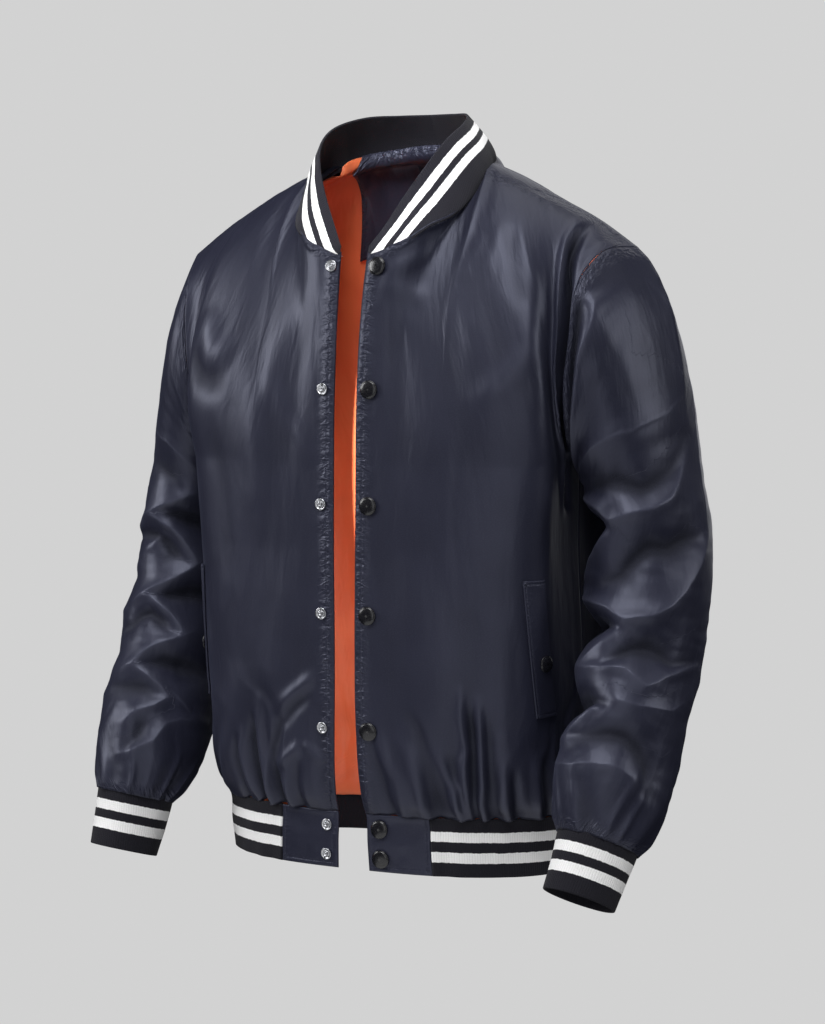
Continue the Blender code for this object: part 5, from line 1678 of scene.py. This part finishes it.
lined, lined_facing = lining_grids["back"], facing
row_numbers, columns = np.arange(len(lined)), np.arange(lined.shape[1], dtype=float)
from_top = flat_measure(lined)[1]
from_top = from_top - from_top[-1]
patch, patch_normals = [], []
for fall in np.linspace(PATCH_LENGTH, 0.0, PATCH_ROWS):
    rows = np.array([np.interp(-fall, column, row_numbers) for column in from_top.T])
    line, ways = reading(lined, rows, columns), reading(lined_facing, rows, columns)
    half = np.interp(fall, (0.0, PATCH_LENGTH), PATCH_HALF_WIDTHS)
    at = np.linspace(-half, half, PATCH_COLUMNS)
    patch.append(along_x(at, line, line))
    patch_normals.append(along_x(at, line, ways))
patch, patch_normals = np.array(patch), unit(np.array(patch_normals))
across, up = measure_mm(patch)
fall = up[-1] - up
gather = (pleats(across + 200, fall, PATCH_PLEAT, PATCH_FADE, 111) + 1) * 1.3 * ease(fall / 12)
ruffles = np.abs(noise(across / RUFFLE, fall / 30, 113)) * 1.5 * np.exp(-((fall / 8) ** 2))
patch = patch - patch_normals * (LINING + PATCH_GAP + (gather + ruffles) / 1000)[:, :, None]
patch = patch + UP * (PATCH_LIFT * (1 - ease(fall / 6)))[:, :, None]
patch_seams = seam_map(
    (across - PATCH_STITCH, up), (across[:, -1:] - across - PATCH_STITCH, up),
    (up - PATCH_STITCH, across), (fall - RUFFLE_STITCH, across),
)
# the relief gives the gathers' hollows painted shade and their crests a painted highlight
piece = wall("neck_patch_cloth", patch, patch_normals, SHELL, seams=patch_seams,
             folds=relief(-gather - ruffles, depth=1.6))
place(piece, satin, "satin", "neck_patch")


# %% [markdown]
# ## Pocket welts
# A slanted welt pocket: a stitched strip of satin that lies on the front, with a snap to close it.

# %% Welts
#  mm round to its two long edges, and mm of height
WELT_TOP, WELT_BOTTOM = (162.0, 186.0, -384.0), (176.0, 203.0, -512.0)
WELT_TALL, WELT_WIDE = 0.130, 0.0255
WELT_GAP, WELT_RISE = 0.00044, 0.0022
WELT_ROWS, WELT_COLUMNS = 60, 16
WELT_STITCH, WELT_END_STITCH = 2.6, 3.0
welts = {}
for side in ("left", "right"):
    grid, normals, x, y = fronts[side]
    down = 1 - shares_to_edge(WELT_TALL, WELT_RISE, WELT_ROWS, True)[:, None]
    over = shares_to_edge(WELT_WIDE, WELT_RISE, WELT_COLUMNS, True)[None, :]
    edges = [WELT_TOP[i] + (WELT_BOTTOM[i] - WELT_TOP[i]) * down for i in range(3)]
    at = edges[0] + (edges[1] - edges[0]) * over
    high = edges[2] + 0 * over
    row, column = spots_on(x, y, at.ravel(), high.ravel())
    base = reading(grid, row, column).reshape(at.shape + (3,))
    facing = unit(reading(normals, row, column)).reshape(base.shape)
    base = base + facing * (WELT_GAP + WELT_RISE)
    across, up = measure_mm(base)
    welt, thick = rounded(base, facing, WELT_RISE, ALL_ROUND)
    seams = seam_map((across - WELT_STITCH, up), (up - WELT_END_STITCH, across),
                     (up[-1:] - up - WELT_END_STITCH, across))
    piece = wall(f"welt_cloth_{side}", welt, facing, thick, seams=seams)
    place(piece, satin_flat, "satin", f"pocket_welt_{side}")
    welts[side] = (welt, facing)


# %% [markdown]
# ## Snaps
# A cap is a moulded black dome in a thin rim. Its other half is a stud: a flange pressed through the
# cloth, with a hollow post. Both are turned from a profile, so each is one sweep about its axis.

# %% Turned pieces
SEGMENTS = 48
ON_AXIS = 1e-5          # metres, a hair off the axis
SNAP_LIFT = 0.0004      # how far a snap's foot lies above the cloth


def turned(name, profile, place_at, facing):
    """A closed profile of (radius, height) rows in metres swept about an axis. It is lifted a
    little off the cloth."""
    side = unit(np.cross(facing, UP))
    up = np.cross(side, facing)
    angles = 2 * math.pi * np.arange(SEGMENTS) / SEGMENTS
    spokes = np.cos(angles)[:, None] * side + np.sin(angles)[:, None] * up
    rows = np.array(profile)
    points = place_at + facing * SNAP_LIFT + rows[:, :1, None] * spokes + rows[:, 1:, None] * facing
    index = np.arange(points.shape[0] * SEGMENTS).reshape(points.shape[0], SEGMENTS)
    index = np.concatenate([index, index[:, :1]], axis=1)
    return mesh_object(name, points.reshape(-1, 3), quads(index))


def closed_ends(profile):
    """A profile that starts and ends on its axis, within a hair."""
    (_, first), (_, last) = profile[0], profile[-1]
    return ((ON_AXIS, first),) + tuple(profile) + ((ON_AXIS, last),)


def dome(radius, low, high, count=9):
    """Rows of a shallow dome from its rim to its top."""
    turn = np.linspace(0.0, math.pi / 2, count)
    rows = [(radius * math.cos(t), low + (high - low) * math.sin(t)) for t in turn[:-1]]
    return rows + [(ON_AXIS, high)]


# %% Caps and studs
#  z      cap inset stud inset, in mm
FRONT_SNAPS = (
    (-99.0, 13.5, 9.5),
    (-212.5, 13.5, 13.0),
    (-319.0, 13.5, 13.5),
    (-420.5, 13.5, 13.5),
    (-528.0, 13.5, 13.0),
)
TAB_SNAPS = ((-622.0, 13.5, 12.5), (-650.0, 13.5, 12.5))
CAP_RADIUS, CAP_RISE = 0.0086, 0.0042
STUD_RADIUS, STUD_RISE = 0.0056, 0.0028
#  shares of radius and rise: a cap's rounded rim and small step
CAP_RIM = ((1.0, 0.22), (1.0, 0.36), (0.965, 0.50), (0.93, 0.47))
#  a stud's broad rolled rim, its flat recess and its short post with a dished top
STUD_RIM_AND_POST = (
    (1.0, 0.20), (0.98, 0.42), (0.90, 0.52), (0.78, 0.48), (0.70, 0.16), (0.46, 0.14), (0.43, 0.70),
    (0.38, 0.94), (0.32, 1.0), (0.25, 0.94), (0.20, 0.60), (0.05, 0.55),
)


def cap_profile(radius, rise):
    """Half section of a cap: a foot, its rim and a dome."""
    foot = [(radius * 0.80, -0.0003), (radius * 0.93, 0.0002)]
    rim = [(radius * out, rise * up) for out, up in CAP_RIM]
    return closed_ends(foot + rim + dome(radius * 0.90, rise * 0.52, rise * 0.80))


def stud_profile(radius, rise):
    """Half section of a stud: a foot, its rim and its post."""
    rows = [(radius * out, rise * up) for out, up in STUD_RIM_AND_POST]
    return closed_ends([(radius * 0.90, -0.0002)] + rows)


def snap_at(surface, across, height):
    """Where a snap sits on a panel, and the way it faces."""
    grid, normals, x, y = surface
    row, column = spots_on(x, y, across, height)
    return reading(grid, row, column)[0], unit(reading(normals, row, column))[0]


spots = [("front", row) for row in FRONT_SNAPS] + [("tab", row) for row in TAB_SNAPS]
for number, (where, (height, cap_inset, stud_inset)) in enumerate(spots, start=1):
    surfaces = fronts if where == "front" else tab_rows
    cap = turned(f"cap_{number}", cap_profile(CAP_RADIUS, CAP_RISE),
                 *snap_at(surfaces["left"], cap_inset, height))
    place(cap, cap_plastic, "cap", f"snap_cap_{number}")
    stud = turned(f"stud_{number}", stud_profile(STUD_RADIUS, STUD_RISE),
                  *snap_at(surfaces["right"], stud_inset, height))
    place(stud, stud_metal, "stud", f"snap_stud_{number}")

POCKET_SNAP_RADIUS, POCKET_SNAP_RISE = 0.0078, 0.0036
POCKET_SNAP_DOWN, POCKET_SNAP_OVER = 0.59, 0.58         # shares of the welt's length and width
for side, (welt, facing) in welts.items():
    row = np.array([(1 - POCKET_SNAP_DOWN) * (len(welt) - 1)])
    column = np.array([(welt.shape[1] - 1) * POCKET_SNAP_OVER])
    at, way = reading(welt, row, column)[0], unit(reading(facing, row, column))[0]
    piece = turned(f"pocket_cap_{side}", cap_profile(POCKET_SNAP_RADIUS, POCKET_SNAP_RISE), at, way)
    place(piece, cap_plastic, "cap", f"pocket_snap_{side}")

# %% [markdown]
# ## Camera, light and floor
# The jacket is seen from the front and a little to its left, from just above its middle. One broad
# soft light stands above and in front, with weaker ones all round, and a small one hangs inside. The
# floor and what lies beyond it are pale and plain.

# %% Camera
AZIMUTH, ELEVATION, DISTANCE = math.radians(27.0), math.radians(4.5), 2.6
SENSOR, VIEW_ANGLE = 36.0, math.radians(21.6)
TARGET = np.array([0.0, 0.0, -0.335])
level_share = math.cos(ELEVATION)
across, ahead = math.sin(AZIMUTH), -math.cos(AZIMUTH)
toward = np.array([across * level_share, ahead * level_share, math.sin(ELEVATION)])
camera = stand("camera", bpy.data.cameras.new("camera"))
camera.data.sensor_width = SENSOR
camera.data.lens = SENSOR / 2 / math.tan(VIEW_ANGLE / 2)
camera.data.clip_end = 50.0


def aim(thing, at, target):
    """Puts a camera or a light at a place and turns its minus z to the target, with z up."""
    back_way = unit(np.array(at) - np.array(target))
    right = unit(np.cross(UP, back_way))
    up = np.cross(back_way, right)
    rows = [[float(right[i]), float(up[i]), float(back_way[i]), float(at[i])] for i in range(3)]
    thing.matrix_world = Matrix(rows + [[0.0, 0.0, 0.0, 1.0]])


aim(camera, TARGET + toward * DISTANCE, TARGET)
bpy.context.scene.camera = camera

# %% Lights
#  name, place, what it points at, width, power
LIGHTS = (
    ("key", (0.3, -1.9, 2.9), (0.05, 0.0, -0.25), 2.2, 96.0),
    ("left_side", (2.6, 0.6, 0.5), (0.0, 0.0, -0.35), 1.4, 20.0),
    ("right_side", (-2.5, -1.7, 0.7), (0.0, 0.0, -0.35), 1.4, 48.0),
    ("front", (1.2, -3.4, 0.2), (0.0, 0.0, -0.35), 3.0, 28.0),
    ("above", (0.3, 0.7, 2.8), (0.0, 0.0, -0.1), 2.4, 24.0),
    ("below", (0.2, -0.8, -1.9), (0.0, 0.0, -0.4), 3.0, 24.0),
    ("behind", (-0.5, 3.3, 0.6), (0.0, 0.0, -0.35), 2.6, 20.0),
    ("inside", (-0.02, -0.085, -0.46), (-0.03, 0.12, -0.48), 0.14, 0.10),
    ("neck", (0.12, -0.75, 0.45), (0.02, 0.05, -0.02), 0.25, 8.0),
)
for name, at, target, size, power in LIGHTS:
    lamp = bpy.data.lights.new(name, "AREA")
    lamp.shape = "SQUARE"
    lamp.size = size
    lamp.energy = power
    aim(stand(name, lamp), at, target)

# %% [markdown]
# ### A light at the neck and a narrow beam on the lining
# The neck light reaches the collar, the linings and the neck patch only. The beam reaches two of the
# linings, and its sharp edge falls down the gap between the fronts, so that the lining there is
# bright on one side of it.

# %% What the neck light and the beam reach
BEAM_ANGLE, BEAM_SIDEWAYS, BEAM_UP = math.radians(40.0), math.tan(math.radians(18.7)), 0.016
BEAM_POWER, BEAM_BLUR, BEAM_SIZE = 1150.0, 0.003, 0.002


def lights_only(lamp, label, *names):
    """Lets a lamp light these pieces and nothing else."""
    reached = bpy.data.collections.new(label)
    for name in names:
        reached.objects.link(bpy.data.objects[name])
    lamp.light_linking.receiver_collection = reached


lights_only(bpy.data.objects["neck"], "lit_neck", "lining_cloth_right", "lining_cloth_back",
            "lining_cloth_left", "neck_patch_cloth", "collar_knit")
eye = TARGET + toward * DISTANCE
sideways = unit(np.cross(UP, toward))
spot = bpy.data.lights.new("beam", "SPOT")
spot.energy, spot.spot_size = BEAM_POWER, BEAM_ANGLE
spot.spot_blend, spot.shadow_soft_size = BEAM_BLUR, BEAM_SIZE
beam = stand("beam", spot)
aim(beam, eye, eye + (sideways * BEAM_SIDEWAYS + UP * BEAM_UP - toward) * DISTANCE)
lights_only(beam, "lit_inside", "lining_cloth_right", "lining_cloth_back")

# %% World
PALE = (0.645, 0.645, 0.645, 1.0)
world = bpy.data.worlds.new("studio")
bpy.context.scene.world = world
world.use_nodes = True
world.node_tree.nodes["Background"].inputs["Color"].default_value = PALE
world.node_tree.nodes["Background"].inputs["Strength"].default_value = 1.0
world.cycles_visibility.diffuse = False
world.cycles_visibility.glossy = False
bpy.context.scene.view_settings.view_transform = "Standard"

# %% Floor
FLOOR_Z, FLOOR_HALF = -1.45, 40.0
corners = np.array([(-1, -1), (1, -1), (1, 1), (-1, 1)]) * FLOOR_HALF
floor_points = np.column_stack([corners, np.full(4, FLOOR_Z)])
floor = mesh_object("floor", floor_points, [[0, 1, 2, 3]])
finish = blank_material("floor", Base_Color=(0.0, 0.0, 0.0, 1.0), Roughness=1.0,
                        Specular_IOR_Level=0.0, Emission_Color=PALE, Emission_Strength=1.0)[0]
floor.data.materials.append(finish)
floor.visible_diffuse = False
floor.visible_glossy = False


# %% [markdown]
# ## What the cloth was cut to
# Each cloth piece's flat size is printed. Woven pieces are cut as long and as wide as their cloth
# runs over its folds. Rib knit is cut an eighth shorter than its seam and stretched as it is sewn on,
# and the neck patch is cut a quarter wider than its seam and gathered.

# %% Flat sizes
def rolled_out(grid, closed=False):
    """Longest row, longest column and area of a grid laid flat, in metres: a cell's area is half
    the cross product of its diagonals."""
    if closed:
        grid = np.concatenate([grid, grid[:, :1]], axis=1)
    across, up = flat_measure(grid)
    crossed = np.cross(grid[1:, 1:] - grid[:-1, :-1], grid[1:, :-1] - grid[:-1, 1:])
    area = np.linalg.norm(crossed, axis=-1).sum() / 2
    return float(across[:, -1].max()), float(up[-1].max()), float(area)


def declare(name, grid, share=1.0, closed=False):
    """Prints a cloth piece's flat size: share is how wide it was cut, next to how wide it lies now."""
    width, length, area = rolled_out(grid, closed)
    width, area = width * share, min(area, width * length) * share
    size = f"{round(width, 3)} by {round(length, 3)} m, {round(area, 4)} square metres"
    print(name, "cut to", size)


RIB_SHARE, GATHER_SHARE = 0.88, 1.25
for side in ("left", "right"):
    front, sleeve = f"front_cloth_{side}", f"sleeve_cloth_{side}"
    declare(front, fronts[side][0])
    declare(sleeve, sleeves[side], closed=True)
    declare(f"cuff_knit_{side}", cuffs[side], RIB_SHARE, closed=True)
    declare(f"hem_tab_cloth_{side}", tab_rows[side][0])
    declare(f"lining_cloth_{side}", lining_grids[side])
    declare(f"welt_cloth_{side}", welts[side][0])
declare("back_cloth", back)
declare("collar_knit", collar, RIB_SHARE)
declare("hem_band_knit", band, RIB_SHARE)
declare("lining_cloth_back", lining_grids["back"])
declare("neck_patch_cloth", patch, GATHER_SHARE)
